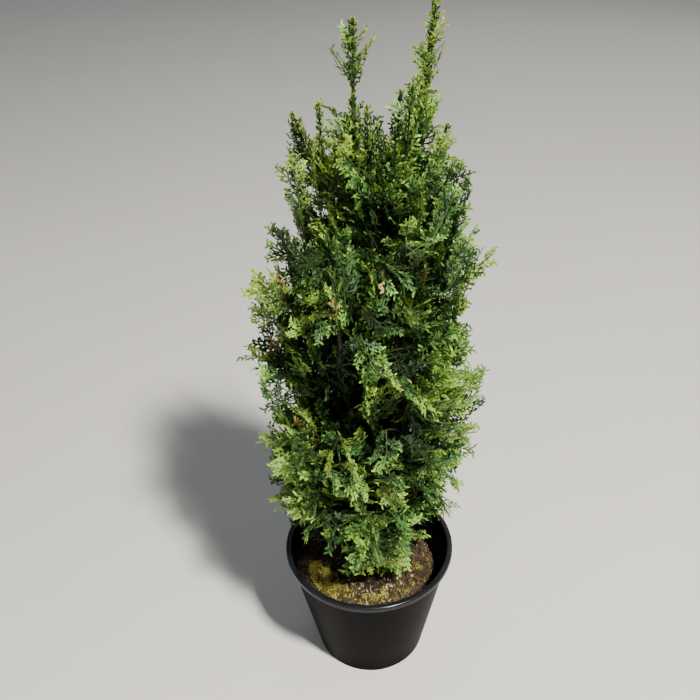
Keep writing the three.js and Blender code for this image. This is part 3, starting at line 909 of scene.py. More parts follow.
# Patches of the crown painted lighter or darker, as light and shade, in the measure of the hollows, and by
# how much
LIGHT_AND_SHADE_PATCHES = [
    (450, 412, 24, 36, 0.25),
    (426, 404, 14, 12, 0.25),
    (386, 384, 14, 12, 0.25),
    (430, 60, 14, 62, 0.2),
    (286, 244, 14, 26, -0.3),
    (310, 264, 24, 17, -0.4),
    (460, 220, 26, 56, -0.25),
    (428, 318, 16, 54, -0.25),
    (372, 323, 20, 14, -0.3),
    (296, 322, 24, 34, 0.16),
    (328, 308, 16, 12, 0.24),
    (330, 274, 18, 15, -0.3),
    (348, 347, 10, 15, -0.5),
    (346, 522, 14, 10, -0.2),
    (368, 284, 34, 16, 0.12),
    (276, 384, 20, 24, -0.3),
    (290, 456, 30, 60, 0.1),
    (336, 478, 24, 22, 0.26),
    (342, 466, 16, 14, 0.14),
    (368, 528, 12, 14, 0.2),
    (304, 506, 14, 12, 0.16),
    (414, 468, 16, 22, -0.2),
    (404, 520, 16, 18, -0.14),
    (346, 542, 18, 12, -0.2),
    (366, 248, 12, 22, -0.25),
    (348, 424, 12, 12, -0.2),
    (346, 186, 12, 14, -0.15),
    (322, 528, 14, 12, -0.2),
    (384, 408, 14, 10, -0.2),
    (450, 188, 16, 18, -0.15),
    (458, 270, 22, 26, -0.2),
    (318, 200, 24, 30, 0.16),
    (396, 287, 20, 20, -0.3),
    (424, 426, 14, 12, -0.35),
    (276, 166, 14, 22, -0.2),
    (322, 326, 14, 12, -0.12),
    (304, 284, 14, 12, -0.25),
    (404, 506, 12, 12, 0.12),
    (390, 370, 13, 9, -0.3),
    (389, 392, 12, 10, 0.35),
    (411, 367, 10, 12, -0.3),
    (388, 291, 10, 10, -0.25),
    (330, 309, 12, 9, 0.15),
    (366, 303, 16, 14, 0.2),
    (411, 309, 11, 9, 0.2),
    (390, 330, 12, 10, -0.3),
    (288, 450, 14, 12, 0.2),
    (369, 470, 9, 11, -0.3),
    (320, 218, 30, 16, 0.18),
]
# Sprays that have turned brown at their tips, as (pixel across, pixel down, radius)
BROWNS = [
    (286, 282, 8),
    (332, 311, 8),
    (345, 285, 4),
    (383, 285, 4),
    (312, 160, 5),
    (330, 135, 4),
    (300, 423, 5),
    (390, 478, 5),
]


def within(place, spots):
    """Whether a place is seen from the front inside one of the picture's oval spots."""
    if place[1] > stem_point("trunk", place[2])[1]:
        return False
    u, v = seen_at(place)
    return any(((u - s[0]) / s[2]) ** 2 + ((v - s[1]) / s[-1]) ** 2 < 1 for s in spots)


def painted_light_tone(place):
    """How much lighter or darker the sprays are painted at a place, as light and shade."""
    return sum(patch[4] for patch in LIGHT_AND_SHADE_PATCHES if within(place, [patch[:4]]))


other_trees = {name: surface_of(*[n for n in MASS_NAMES if n != name]) for name in MASS_NAMES}
crown_tree = surface_of(*MASS_NAMES)


def plume_ends(name):
    """Places spread evenly over the free surface of a mass, away from its seams with other masses."""
    faces = triangles_of(name)
    cross = np.cross(faces[:, 1] - faces[:, 0], faces[:, 2] - faces[:, 0])
    area = np.linalg.norm(cross, axis=1)
    count = int(area.sum() / 2 / PLUME_SPACING**2 * PLUME_TRIES)
    pick = growth.choice(len(faces), count, p=area / area.sum())
    a, b = growth.random((2, count, 1))
    a, b = np.where(a + b > 1, 1 - a, a), np.where(a + b > 1, 1 - b, b)
    points = faces[pick, 0] + a * (faces[pick, 1] - faces[pick, 0]) + b * (faces[pick, 2] - faces[pick, 0])
    tips = faces.reshape(-1, 3)
    centre = stem_point("trunk", tips[:, 2].mean())
    far = tips[np.argsort(-np.linalg.norm(tips[:, :2] - centre[:2], axis=1))[:FAR_TIPS]]
    peak = tips[np.argsort(-tips[:, 2])[:PEAK_TIPS]]
    points = np.vstack([far, peak, points])
    normals = np.vstack([unit(points[: FAR_TIPS + PEAK_TIPS] - tips.mean(0)), unit(cross[pick])])
    kept = []
    for point, normal in zip(points, normals):
        if kept and np.min(np.linalg.norm(np.array(kept) - point, axis=1)) < PLUME_SPACING:
            continue
        near = other_trees[name].find_nearest(Vector(point))
        if near[3] is not None and near[3] < SEAM_WIDTH:
            continue
        if normal @ outward(point) < FACING_IN and normal[2] < FACING_UP:
            continue
        kept.append(point)
    return np.array(kept)


def pulled_in(place, depth):
    """A place moved toward the trunk until it lies at least so deep in the crown."""
    for _ in range(PULL_STEPS):
        near, normal, _, distance = crown_tree.find_nearest(Vector(place))
        inside = (Vector(place) - near).dot(normal) < 0
        if inside and distance > depth:
            break
        place = place + (stem_point("trunk", place[2]) - place) * (PULL_SHARE, PULL_SHARE, 0)
    return place


def plume_of(name, end, spine, inner):
    """One plume: its stalk from the spine, its leafy part, how high it ends, and which way is out."""
    share = up_crown(end[2])
    out = outward(end)
    climb = CLIMB_AT_FOOT + CLIMB_GAIN * share**CLIMB_CURVE + growth.normal(0, CLIMB_SPREAD)
    climb = np.radians(np.clip(climb, *CLIMB_LIMITS))
    if name.startswith("skirt"):
        climb -= SKIRT_DIP
    swing = np.cross(UP, out) * growth.normal(0, SWING)
    way = unit(out * math.cos(climb) + UP * math.sin(climb) + swing)
    long = growth.uniform(*PLUME_LONG) * (INNER_SHORT if inner else 1)
    arch = ARCH_AT_FOOT - ARCH_LOSS * share + growth.normal(0, ARCH_SPREAD)
    start = pulled_in(end - way * long, START_COVER)
    middle = (start + end) / 2 + (UP * ARCH_UP + out * ARCH_OUT) * arch * long
    drop = start[2] - STALK_DROP * np.linalg.norm(start - spine.mean(0))
    foot = spine[np.abs(spine[:, 2] - drop).argmin()]
    bend = foot + (start - foot) * STALK_BEND
    return curved([foot, bend, start], STALK_POINTS), curved([start, middle, end], AXIS_POINTS), share, out


# Fans: each is one flat spray on a plume, its branchlets standing by turns on a main axis and its side
# shoots. A plan holds its branchlets as rows of start along, start across, heading, length, width,
# bend and lightness, for a fan of length one.
SHOOT_FIRST = 0.05
SHOOTS_OVER = 0.86
SHOOT_ANGLE = 50
SHOOT_CLOSES = 18
SHOOT_REACH = 0.46
SHOOT_LEAST = 0.15
SHOOT_SPACING = 0.13
SHOOT_CURVE = 0.13
BRANCH_ANGLE = 37
BRANCH_LONG = 0.205
FAN_PLANS = 10
FAN_STEP = 0.0085
FAN_LONG = 0.031
FRONT_FAN = 0.74
FAN_AT_FOOT = 1.2
FAN_LOSS = 0.44
INNER_SPACING = 1.3
FLAT_BELOW = 0.35
TWIST = 0.45
TWIST_GAIN = 1.1
FANS_OVER = 0.93
TANGENT_OVER = 0.92
TANGENT_LONG = 0.004
FAN_ANGLE_SPREAD = 7
FAN_TILT = 0.22
FAN_FACE = 0.35
FAN_WIDE = 0.4
FAN_SAG = (0.03, 0.12)
FAN_CUP = (0.25, 0.35)
TIP_FAN_LONG = (0.65, 0.85)
TIP_FAN_BEHIND = 0.75
TIP_FAN_TONE = 0.2
TONE_GAIN = 0.75
TONE_EVEN_AT = 0.66
FAN_TONE_SPREAD = 0.06
LARGE_FAN = 0.023
MIDDLE_FAN = 0.015
LARGE, MIDDLE, SMALL = 9, 7, 5
TWIG_RADII = (0.001, 0.0004)


def fan_plan(random, shoots):
    """One way for a fan to branch: a main axis, side shoots by turns, and branchlets along those."""
    rows = [(0.0, 0.0, 0.0, 0.55, 0.85, 0.0, -0.3), (0.5, 0.0, 0.0, 0.5, 0.9, 0.0, 0.05)]
    for i in range(shoots):
        along = SHOOT_FIRST + SHOOTS_OVER * (i + random.uniform(-0.2, 0.2)) / (shoots - 1)
        hand = 1 if i % 2 else -1
        envelope = (1 - along) ** 0.55 * min(1, 0.5 + 1.8 * along)
        reach = max(SHOOT_REACH * envelope * random.uniform(0.82, 1.15), SHOOT_LEAST)
        turn = hand * math.radians(SHOOT_ANGLE - SHOOT_CLOSES * along + random.normal(0, 4))
        rows.append((along, 0.0, turn, reach, 0.95, -SHOOT_CURVE * hand, 0.5 * (along - 0.5)))
        few = int(reach / SHOOT_SPACING)
        for j in range(few):
            share = (j + 0.7) / (few + 0.45)
            side = 1 if (i + j) % 2 else -1
            sweep = -hand * SHOOT_CURVE * reach * share**2
            x = along + reach * share * math.cos(turn) - sweep * math.sin(turn)
            y = reach * share * math.sin(turn) + sweep * math.cos(turn)
            heading = turn - hand * 2 * SHOOT_CURVE * share
            heading += side * math.radians(random.normal(BRANCH_ANGLE, 5))
            size = BRANCH_LONG * (1.15 - 0.5 * share) * random.uniform(0.85, 1.2)
            rows.append((x, y, heading, size, 1.0, -0.1 * side, 0.5 * (along - 0.5) + 0.36 * share))
    return np.array(rows)


plan_random = np.random.default_rng(5)
PLANS = {size: [fan_plan(plan_random, size) for _ in range(FAN_PLANS)] for size in (SMALL, MIDDLE, LARGE)}
OVERHANG = 0.012
box_middle = np.array((cad_low + cad_high) / 2)[:2]
box_half = np.array((cad_high - cad_low) / 2)[:2]
fans = {size: [[] for _ in plans] for size, plans in PLANS.items()}
twig_courses, shoot_courses, spine_courses = [], [], []


def add_fan(base, ahead, face, long, tone, kind):
    """Keep one fan for the sprays, unless a gap, a hollow or the crown's box leaves it out; 1 if kept."""
    tip, half = base + ahead * long, base + ahead * long * 0.5
    if kind != "front" and (within(tip, GAPS) or within(half, GAPS)):
        return 0
    if kind not in ("inner", "front") and (within(tip, HOLLOWS) or within(half, HOLLOWS)):
        if growth.random() < HOLLOW_OPEN:
            return 0
        # Sprays over a hollow are painted darker, as its shade
        tone -= HOLLOW_SHADE
        kind = "outer"
    if kind != "inner":
        # Sprays in a patch are painted lighter or darker, as light and shade
        tone += painted_light_tone(half)
    face = unit(face - ahead * (face @ ahead))
    side = np.cross(face, ahead)
    wing = side * long * FAN_WIDE
    reach = np.array([tip, half + wing, half - wing])[:, :2]
    if (np.abs(reach - box_middle) > box_half + OVERHANG).any():
        return 0
    size = LARGE if long > LARGE_FAN else MIDDLE if long > MIDDLE_FAN else SMALL
    if kind == "inner":
        size = min(size, MIDDLE)
    plan = growth.integers(len(fans[size]))
    sag, cup = growth.normal(*FAN_SAG), growth.normal(*FAN_CUP)
    fans[size][plan].append((base, ahead, side, face, long, sag, cup, tone, kind))
    return 1


def add_twig(stalk, leafy, kind):
    """Keep a plume's axis for later: its bare stalk and its leafy part, green but for the inside's."""
    axis = np.vstack([stalk[:-1], leafy])
    radii = np.linspace(*TWIG_RADII, len(axis))
    bare = len(axis) if kind == "inner" else len(stalk)
    twig_courses.append((axis[:bare], radii[:bare]))
    if bare < len(axis):
        shoot_courses.append((axis[bare - 1 :], radii[bare - 1 :]))


def leaf_plume(leafy, share, tone, kind):
    """Set fans by turns along a plume's leafy part, and one at its end; returns the share it keeps."""
    along = lengths(leafy)
    chord = unit(leafy[-1] - leafy[0])
    level = unit(np.cross(UP, chord))
    over = np.cross(chord, level)
    roll = growth.normal(0, TWIST if share < FLAT_BELOW else TWIST + TWIST_GAIN * share)
    side = math.cos(roll) * level + math.sin(roll) * over
    size = FAN_AT_FOOT - FAN_LOSS * share
    if kind == "front":
        size *= FRONT_FAN
    step = FAN_STEP * (INNER_SPACING if kind == "inner" else size)
    count = max(3, round(along[-1] / step))
    kept = 0
    hand = growth.choice((-1, 1))
    for k in range(count):
        reached = (k + growth.uniform(0, 0.5)) / count * FANS_OVER
        place = place_on(leafy, along, reached * along[-1])
        later = place_on(leafy, along, reached * along[-1] + TANGENT_LONG)
        tangent = unit(later - place) if reached < TANGENT_OVER else chord
        across = unit(side - tangent * (side @ tangent))
        hand = -hand
        angle = math.radians(SHOOT_ANGLE - SHOOT_CLOSES * reached + growth.normal(0, FAN_ANGLE_SPREAD))
        tilt = growth.normal(0, FAN_TILT)
        flat = np.cross(tangent, across)
        ahead = unit(tangent * math.cos(angle) + hand * across * math.sin(angle) + flat * tilt)
        envelope = 0.62 + 0.75 * reached if reached < 0.5 else 1.0 - 0.85 * (reached - 0.5)
        long = FAN_LONG * size * envelope * growth.uniform(0.78, 1.15)
        face = flat + across * growth.normal(0, FAN_FACE)
        fan_tone = tone + TONE_GAIN * (reached - TONE_EVEN_AT) + growth.normal(0, FAN_TONE_SPREAD)
        kept += add_fan(place, ahead, face, long, fan_tone, kind)
    tangent = unit(leafy[-1] - leafy[-2])
    flat = np.cross(tangent, unit(side - tangent * (side @ tangent)))
    long = FAN_LONG * size * growth.uniform(*TIP_FAN_LONG)
    base = leafy[-1] - tangent * long * TIP_FAN_BEHIND
    kept += add_fan(base, tangent, flat, long, tone + TIP_FAN_TONE, kind)
    return kept / (count + 1)


# Crown: each mass has plumes that end on its surface and shaded ones within. Those on the sun's side
# and high up are lighter, and some low ones are bluish. Where a hollow or a gap takes many of a
# plume's fans, it takes the plume's axis too.
OUTER_DEPTH = 0.006
INNER_DEPTH = (0.022, 0.044)
INNER_COVER = 0.016
DEPTH_DOWN = 0.25
SUN_TONE = 0.1
HIGH_TONE = 0.04
TONE_SPREAD = 0.15
BLUE_BELOW = 0.42
BLUE_SHARE = 0.13
LEAST_KEPT = 0.6
SUN = unit(np.array((0.32, -0.47, 0.82)))
for name in MASS_NAMES:
    if name.startswith("spire"):
        continue
    corners = triangles_of(name).reshape(-1, 3)
    spine, spine_radii = spine_of(name, corners.mean(0), corners[corners[:, 2].argmax()])
    spine_courses.append((spine, spine_radii))
    if name.startswith("shoot"):
        continue
    for end in plume_ends(name):
        for kind in ["outer", "inner"]:
            inner = kind == "inner"
            depth = growth.uniform(*INNER_DEPTH) if inner else OUTER_DEPTH
            place = end - (outward(end) + UP * DEPTH_DOWN) * depth
            if inner:
                place = pulled_in(place, INNER_COVER)
            stalk, leafy, share, out = plume_of(name, place, spine, inner)
            lit = SUN_TONE * float(out @ unit(SUN * (1, 1, 0)))
            tone = growth.normal(0, TONE_SPREAD) + lit + HIGH_TONE * share
            if not inner and share < BLUE_BELOW and growth.random() < BLUE_SHARE:
                kind = "blue"
            if leaf_plume(leafy, share, tone, kind) > LEAST_KEPT:
                add_twig(stalk, leafy, kind)

# Front plumes: the sprays that stand out from the crown, those that lie over them, and those that veil
# the limbs. Each grows from the nearest limb below it and lies along its own places.
FRONT_LIFT = 0.008
COVER_LIFT = 0.014
# Plumes that stand out are painted lighter, as sprays that catch the sun
FRONT_LIGHT_TONE = 0.24
FRONT_TONE_SPREAD = 0.07
FRONT_DROP = 0.005
FRONT_BEND = (0.5, 0.5, 0.6)
VEIL_LIFT = 0.004
VEIL_TONE = 0.04
limbs = np.vstack([line for line, _ in [*spine_courses, *bough_courses.values(), stem_courses["trunk"]]])


def front_plume(course, lift, tone, kind):
    """One plume through places of the picture, so far before the crown's surface."""
    made = []
    for u, v in course:
        across, down = (u - PICTURE / 2) / FOCAL_PIXELS, (v - PICTURE / 2) / FOCAL_PIXELS
        ray = (view_ahead + view_right * across - view_up * down).normalized()
        hit = crown_tree.ray_cast(EYE, ray)[0]
        if hit is None:
            depth = -EYE.y / ray.y if not made else (made[-1] - np.array(EYE)) @ np.array(ray)
            hit = EYE + ray * depth
        made.append(np.array(hit - ray * lift))
    made = np.array(made)
    made[1:-1] = made[1:-1] * 0.5 + (made[:-2] + made[2:]) * 0.25
    leafy = curved(made, AXIS_POINTS)
    below = limbs[limbs[:, 2] < leafy[0][2] - FRONT_DROP]
    foot = below[np.linalg.norm(below - leafy[0], axis=1).argmin()]
    bend = foot + (leafy[0] - foot) * FRONT_BEND
    leaf_plume(leafy, up_crown(leafy[-1][2]), tone + growth.normal(0, FRONT_TONE_SPREAD), kind)
    add_twig(curved([foot, bend, leafy[0]], STALK_POINTS), leafy, kind)


for course in FRONT_PLUMES:
    front_plume(course, FRONT_LIFT, FRONT_LIGHT_TONE, "front")
for course in COVER_PLUMES:
    front_plume(course, COVER_LIFT, FRONT_LIGHT_TONE, "front")
crown_growth = growth
growth = np.random.default_rng(31)
for course in VEIL_PLUMES:
    front_plume(course, VEIL_LIFT, VEIL_TONE, "front")
for course in DARK_VEILS:
    front_plume(course, VEIL_LIFT, 0, "inner")
growth = crown_growth

# Spires and shoots: the tops of the two stems and the young shoots on the crown's shoulders. They
# are clothed all round in short, steep sprays, and in the smallest ones where the bark would show.
SPIRE_STEP = 0.0026
SHEATH_STEP = 0.0016
SHEATH_FROM = 0.5
BOUGH_STEP = 0.0035
TIP_LONG = 0.003
SPIRE_RIGHT = 0.75
SPIRE_SLIM = 0.64
GOLDEN_TURN = math.radians(137.5)
TURN_SPREAD = 0.25
SLANT = (22, 40)
SPIRE_FANS = (0.007, 0.034)
SPIRE_TONE = 0.2
SHEATH_FANS = (0.007, 0.013)
SHEATH_TONE = -0.05
BOUGH_FANS = (0.009, 0.016)
BOUGH_WIDE = 0.007
BOUGH_TONE = -0.2
YOUNG_FANS = (0.008, 0.026)
YOUNG_TONE = 0.06
YOUNG_WIDE = 1.3
YOUNG_RADII = (0.0014, 0.0005)
YOUNG_POINTS = 12
YOUNG_FULL = 1.05
YOUNG_NARROWS = 0.75
YOUNG_STAND = 0.05
YOUNG_BEND = (0.3, 0.3, 0.2)
YOUNG_BELOW = 0.01
CLOTHED_TONE_SPREAD = 0.12
CLOTHED_LONG = (0.8, 1.1)
CLOTHED_LEAST = 0.6
CLOTHED_ROLL = 0.9
CLOTHED_BEHIND = 0.6
AXIS_REACH = 0.01
TIP_TURNS = (0.3, 1.4, 2.5)
TIP_BEHIND = 0.8
TIP_TONE = 0.15
SHEATH_WIDE = 0.0045
SHEATH_NARROWS = 0.003
RAY_FROM = 0.06
SHOOT_GROWN = {"shoot_far_left": -0.18, "shoot_middle": 0.02}
# Young shoots that have no mass of their own, as foot, tip and width
YOUNG_SHOOTS = [
    ((0.034, -0.012, 0.585), (0.041, -0.016, 0.672), 0.014),
    ((0.026, -0.02, 0.57), (0.027, -0.026, 0.64), 0.012),
    ((-0.028, -0.012, 0.585), (-0.033, -0.012, 0.66), 0.011),
    ((-0.02, -0.02, 0.57), (-0.021, -0.026, 0.632), 0.010),
    ((0.006, -0.02, 0.565), (0.005, -0.022, 0.658), 0.010),
    ((0.072, -0.01, 0.53), (0.088, -0.014, 0.592), 0.012),
    ((0.06, 0.02, 0.56), (0.074, 0.026, 0.624), 0.012),
    ((-0.05, 0.02, 0.54), (-0.06, 0.028, 0.606), 0.012),
    ((0.0, 0.03, 0.57), (-0.004, 0.04, 0.64), 0.012),
    ((0.03, 0.034, 0.57), (0.036, 0.044, 0.648), 0.012),
]


def clothe(middles, width_at, step, fans_long, tone, kind="outer"):
    """Set fans all round a line of places, each as long as the width in its direction asks."""
    shortest, longest = fans_long
    along = lengths(middles)
    turn = growth.uniform(0, 2 * math.pi)
    for reached in np.arange(0, along[-1], step):
        turn += GOLDEN_TURN + growth.normal(0, TURN_SPREAD)
        place = place_on(middles, along, reached)
        later = place_on(middles, along, reached + AXIS_REACH)
        axis = unit(later - place_on(middles, along, reached - AXIS_REACH))
        out = np.array((math.cos(turn), math.sin(turn), 0))
        width = width_at(place, out, reached / along[-1])
        if width is None:
            continue
        slant = math.radians(growth.uniform(*SLANT))
        left = (along[-1] - reached + TIP_LONG) / ((1 - CLOTHED_BEHIND) * math.cos(slant))
        long = np.clip(width / math.sin(slant), shortest, longest) * growth.uniform(*CLOTHED_LONG)
        long = max(min(long, left), shortest * CLOTHED_LEAST)
        across = unit(np.cross(axis, out))
        out = unit(out - axis * (out @ axis))
        ahead = unit(axis * math.cos(slant) + out * math.sin(slant))
        face = np.cross(ahead, across) * growth.choice([-1, 1]) + across * growth.normal(0, CLOTHED_ROLL)
        base = place - axis * long * math.cos(slant) * CLOTHED_BEHIND
        add_fan(base, ahead, face, long, tone + growth.normal(0, CLOTHED_TONE_SPREAD), kind)
    last = unit(middles[-1] - middles[-2])
    for turn in TIP_TURNS:
        face = np.cross(last, unit(np.array((math.cos(turn), math.sin(turn), 0))))
        add_fan(middles[-1] - last * shortest * TIP_BEHIND, last, face, shortest, tone + TIP_TONE, kind)


# Sprays along the boughs and spines are inner ones, painted near black as the crown's shade
for middles, _ in [*bough_courses.values(), *spine_courses]:
    outer_part = middles[len(middles) // 3 :]
    clothe(outer_part, lambda *_: BOUGH_WIDE, BOUGH_STEP, BOUGH_FANS, BOUGH_TONE, "inner")

for stem, spire_side in [("trunk", "right"), ("leader", "left")]:
    middles = stem_courses[stem][0]
    spire_names = [name for name in MASS_NAMES if name.startswith(f"spire_{spire_side}")]
    spire_trees = [surface_of(name) for name in spire_names]
    lowest = min(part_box(name)[0].z for name in spire_names)

    def to_surface(place, out, reached):
        """How far the spire's own mass reaches from the stem in a direction."""
        start = Vector(place + out * RAY_FROM)
        hits = [tree.ray_cast(start, Vector(-out), RAY_FROM) for tree in spire_trees]
        widths = [RAY_FROM - hit[3] for hit in hits if hit[0] is not None]
        lean = SPIRE_RIGHT if stem == "trunk" and place[2] > SPIRE_SLIM else 1
        return max(widths) * (lean if out[0] > 0 else 1) if widths else None

    def to_bark(place, out, reached):
        """How wide the small sprays stand that lie on the bark, which narrows to the tip."""
        return SHEATH_WIDE - SHEATH_NARROWS * reached

    clothe(middles[middles[:, 2] > lowest], to_surface, SPIRE_STEP, SPIRE_FANS, SPIRE_TONE)
    clothe(middles[middles[:, 2] > SHEATH_FROM], to_bark, SHEATH_STEP, SHEATH_FANS, SHEATH_TONE)

young = [(np.array(foot), np.array(tip), width) for foot, tip, width in YOUNG_SHOOTS]
for name in [name for name in MASS_NAMES if name.startswith("shoot")]:
    middles, radii = course_of(name)
    top = middles[-1] + (middles[-1] - middles[0]) * SHOOT_GROWN[name]
    young.append((middles[0], top, max(radii) * YOUNG_WIDE))
for foot, tip, width in young:
    stand = stem_point("trunk", foot[2] - YOUNG_STAND)
    line = curved([stand, foot + (stand - foot) * YOUNG_BEND, foot, tip], YOUNG_POINTS)
    shoot_part = line[line[:, 2] > foot[2] - YOUNG_BELOW]
    twig_courses.append((line, np.linspace(*YOUNG_RADII, len(line))))

    def to_tip(place, out, reached):
        """How wide a young shoot is, which narrows to its tip."""
        return width * (YOUNG_FULL - YOUNG_NARROWS * reached)

    clothe(shoot_part, to_tip, SPIRE_STEP, YOUNG_FANS, YOUNG_TONE)

# Twigs and green shoots: the thin limbs within the masses and the plumes' stalks, in thin bark, and
# the plumes' leafy axes, which are still green. Each grows on from the limb or the twig before it.
for name, courses, light, dark in [
    ("twigs", spine_courses + twig_courses, (0.024, 0.034, 0.01), (0.015, 0.014, 0.006)),
    ("green_shoots", shoot_courses, (0.07, 0.12, 0.028), (0.03, 0.055, 0.014)),
]:
    twigs = tubes(name, courses, 0)
    twigs.data.materials.append(worn(name, dark, light, 0.8, 90, (0.7, 0.9), 0, 0.1))
    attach(twigs, "root")

# Sprays: scale-leaved branchlets, folded along a ridge and blunt at the tip, in living greens from
# the shaded inside to the new tips, near black within the crown as painted shade, a bluish green low
# in the crown, and dead brown. The colours are dealt out by spray, a step lighter at a spray's tip
# than at its foot.
BRANCHLET = 0.00215
BROAD_LOW = 1.25
BROAD_HIGH = 0.85
NARROWEST = 0.72
RISE_SPREAD = 0.12
ROLL_SPREAD = 0.3
LONG_SPREAD = (0.85, 1.15)
LEVEL_SPREAD = 0.09
RIDGE = 0.00035
SCALE_LONG = 0.0016
PIECE_TRIANGLES = 190000
GREENS = [
    ("sprays_deep", (0.014, 0.036, 0.007), -9.0),
    ("sprays_green", (0.036, 0.1, 0.021), 0.15),
    ("sprays_fresh", (0.1, 0.21, 0.038), 0.42),
    ("sprays_lime", (0.215, 0.37, 0.056), 0.68),
]
# The same greens where the shoots are yellower, which are the spires and the crown's sunny edges
GOLDEN = {
    "sprays_green": ("golden_green", (0.05, 0.1, 0.014)),
    "sprays_fresh": ("golden_fresh", (0.125, 0.21, 0.026)),
    "sprays_lime": ("golden_lime", (0.25, 0.37, 0.045)),
}
GOLDEN_SPOTS = [
    (352, 75, 36, 90),
    (292, 170, 38, 66),
    (266, 280, 26, 90),
    (476, 260, 16, 110),
    (448, 148, 16, 30),
    (426, 40, 20, 60),
]
GOLDEN_SHARE = 0.8
GOLDEN_STRAY = 0.12
tint = np.random.default_rng(9)
BLUE = ("sprays_bluish", (0.055, 0.145, 0.05))
BROWN = ("sprays_brown", (0.31, 0.23, 0.068))
# Sprays within the crown are painted near black, as its deep shade
INNER_SHADE_PAINT = ("sprays_inner", (0.007, 0.017, 0.004))
TONE_MIDDLE = 0.33
BROWN_FROM = 0.42
BROWN_STRAY = 0.005
DEAD = 99.0
PAINTS = [*GREENS, *GOLDEN.values(), BLUE, BROWN, INNER_SHADE_PAINT]
PAINT_DARKER = 0.75
PAINT_LIGHTER = 1.35
dealt = {name: [] for name, *_ in PAINTS}
limits = [least for *_, least in GREENS] + [DEAD]
for size, plans in PLANS.items():
    for plan, kept in zip(plans, fans[size]):
        if not kept:
            continue
        base, ahead, side, face = (np.array([fan[i] for fan in kept])[:, None] for i in range(4))
        long, sag, cup, tone = (np.array([fan[i] for fan in kept])[:, None] for i in range(4, 8))
        kinds = np.array([fan[8] for fan in kept])
        x, y, heading = plan[:, 0] * long, plan[:, 1] * long, plan[:, 2][None]
        rise = sag * x**2 / long + cup * y**2 / long
        place = base + ahead * x[..., None] + side * y[..., None] + face * rise[..., None]
        run = 2 * sag * x / long * np.cos(heading) + 2 * cup * y / long * np.sin(heading)
        run = run + growth.normal(0, RISE_SPREAD, run.shape)
        way = unit(
            ahead * np.cos(heading)[..., None] + side * np.sin(heading)[..., None] + face * run[..., None]
        )
        tipped = unit(face + np.cross(way, face) * growth.normal(0, ROLL_SPREAD, (*run.shape, 1)))
        across = unit(np.cross(tipped, way))
        facing = np.cross(way, across)
        length = plan[:, 3] * long * growth.uniform(*LONG_SPREAD, run.shape)
        width = plan[:, 4] * BRANCHLET * np.minimum(1, NARROWEST + (1 - NARROWEST) * long / FAN_LONG)
        width = width * (BROAD_LOW + (BROAD_HIGH - BROAD_LOW) * up_crown(base[..., 2]))
        bend = plan[:, 5] + 0 * long
        level = TONE_MIDDLE + tone + plan[:, 6] + growth.normal(0, LEVEL_SPREAD, run.shape)
        table = np.concatenate(
            [place, way, across, facing, length[..., None], width[..., None], bend[..., None]], axis=2
        )
        middles = (base + ahead * long[..., None] * 0.6)[:, 0]
        brown = np.array([within(middle, BROWNS) for middle in middles]) & (kinds != "inner")
        brown |= (growth.random(len(kept)) < BROWN_STRAY) & (kinds != "front")
        level[brown[:, None] & (plan[:, 0] + plan[:, 6] > BROWN_FROM)] = DEAD
        golden = np.array([within(middle, GOLDEN_SPOTS) for middle in middles])
        golden = tint.random(len(kept)) < np.where(golden, GOLDEN_SHARE, GOLDEN_STRAY)
        green = (kinds == "outer") | (kinds == "front")
        for kind, chosen in [
            (INNER_SHADE_PAINT[0], kinds == "inner"),
            (BLUE[0], kinds == "blue"),
            ("golden", green & golden),
            ("green", green & ~golden),
        ]:
            rows, levels = table[chosen].reshape(-1, table.shape[2]), level[chosen].ravel()
            if kind == INNER_SHADE_PAINT[0]:
                dealt[kind].append(rows)
                continue
            dealt[BROWN[0]].append(rows[levels == DEAD])
            for i, (title, *_) in enumerate(GREENS):
                part = (levels >= limits[i]) & (levels < limits[i + 1])
                if kind == BLUE[0] and i in (1, 2):
                    title = BLUE[0]
                if kind == "golden" and title in GOLDEN:
                    title = GOLDEN[title][0]
                dealt[title].append(rows[part])


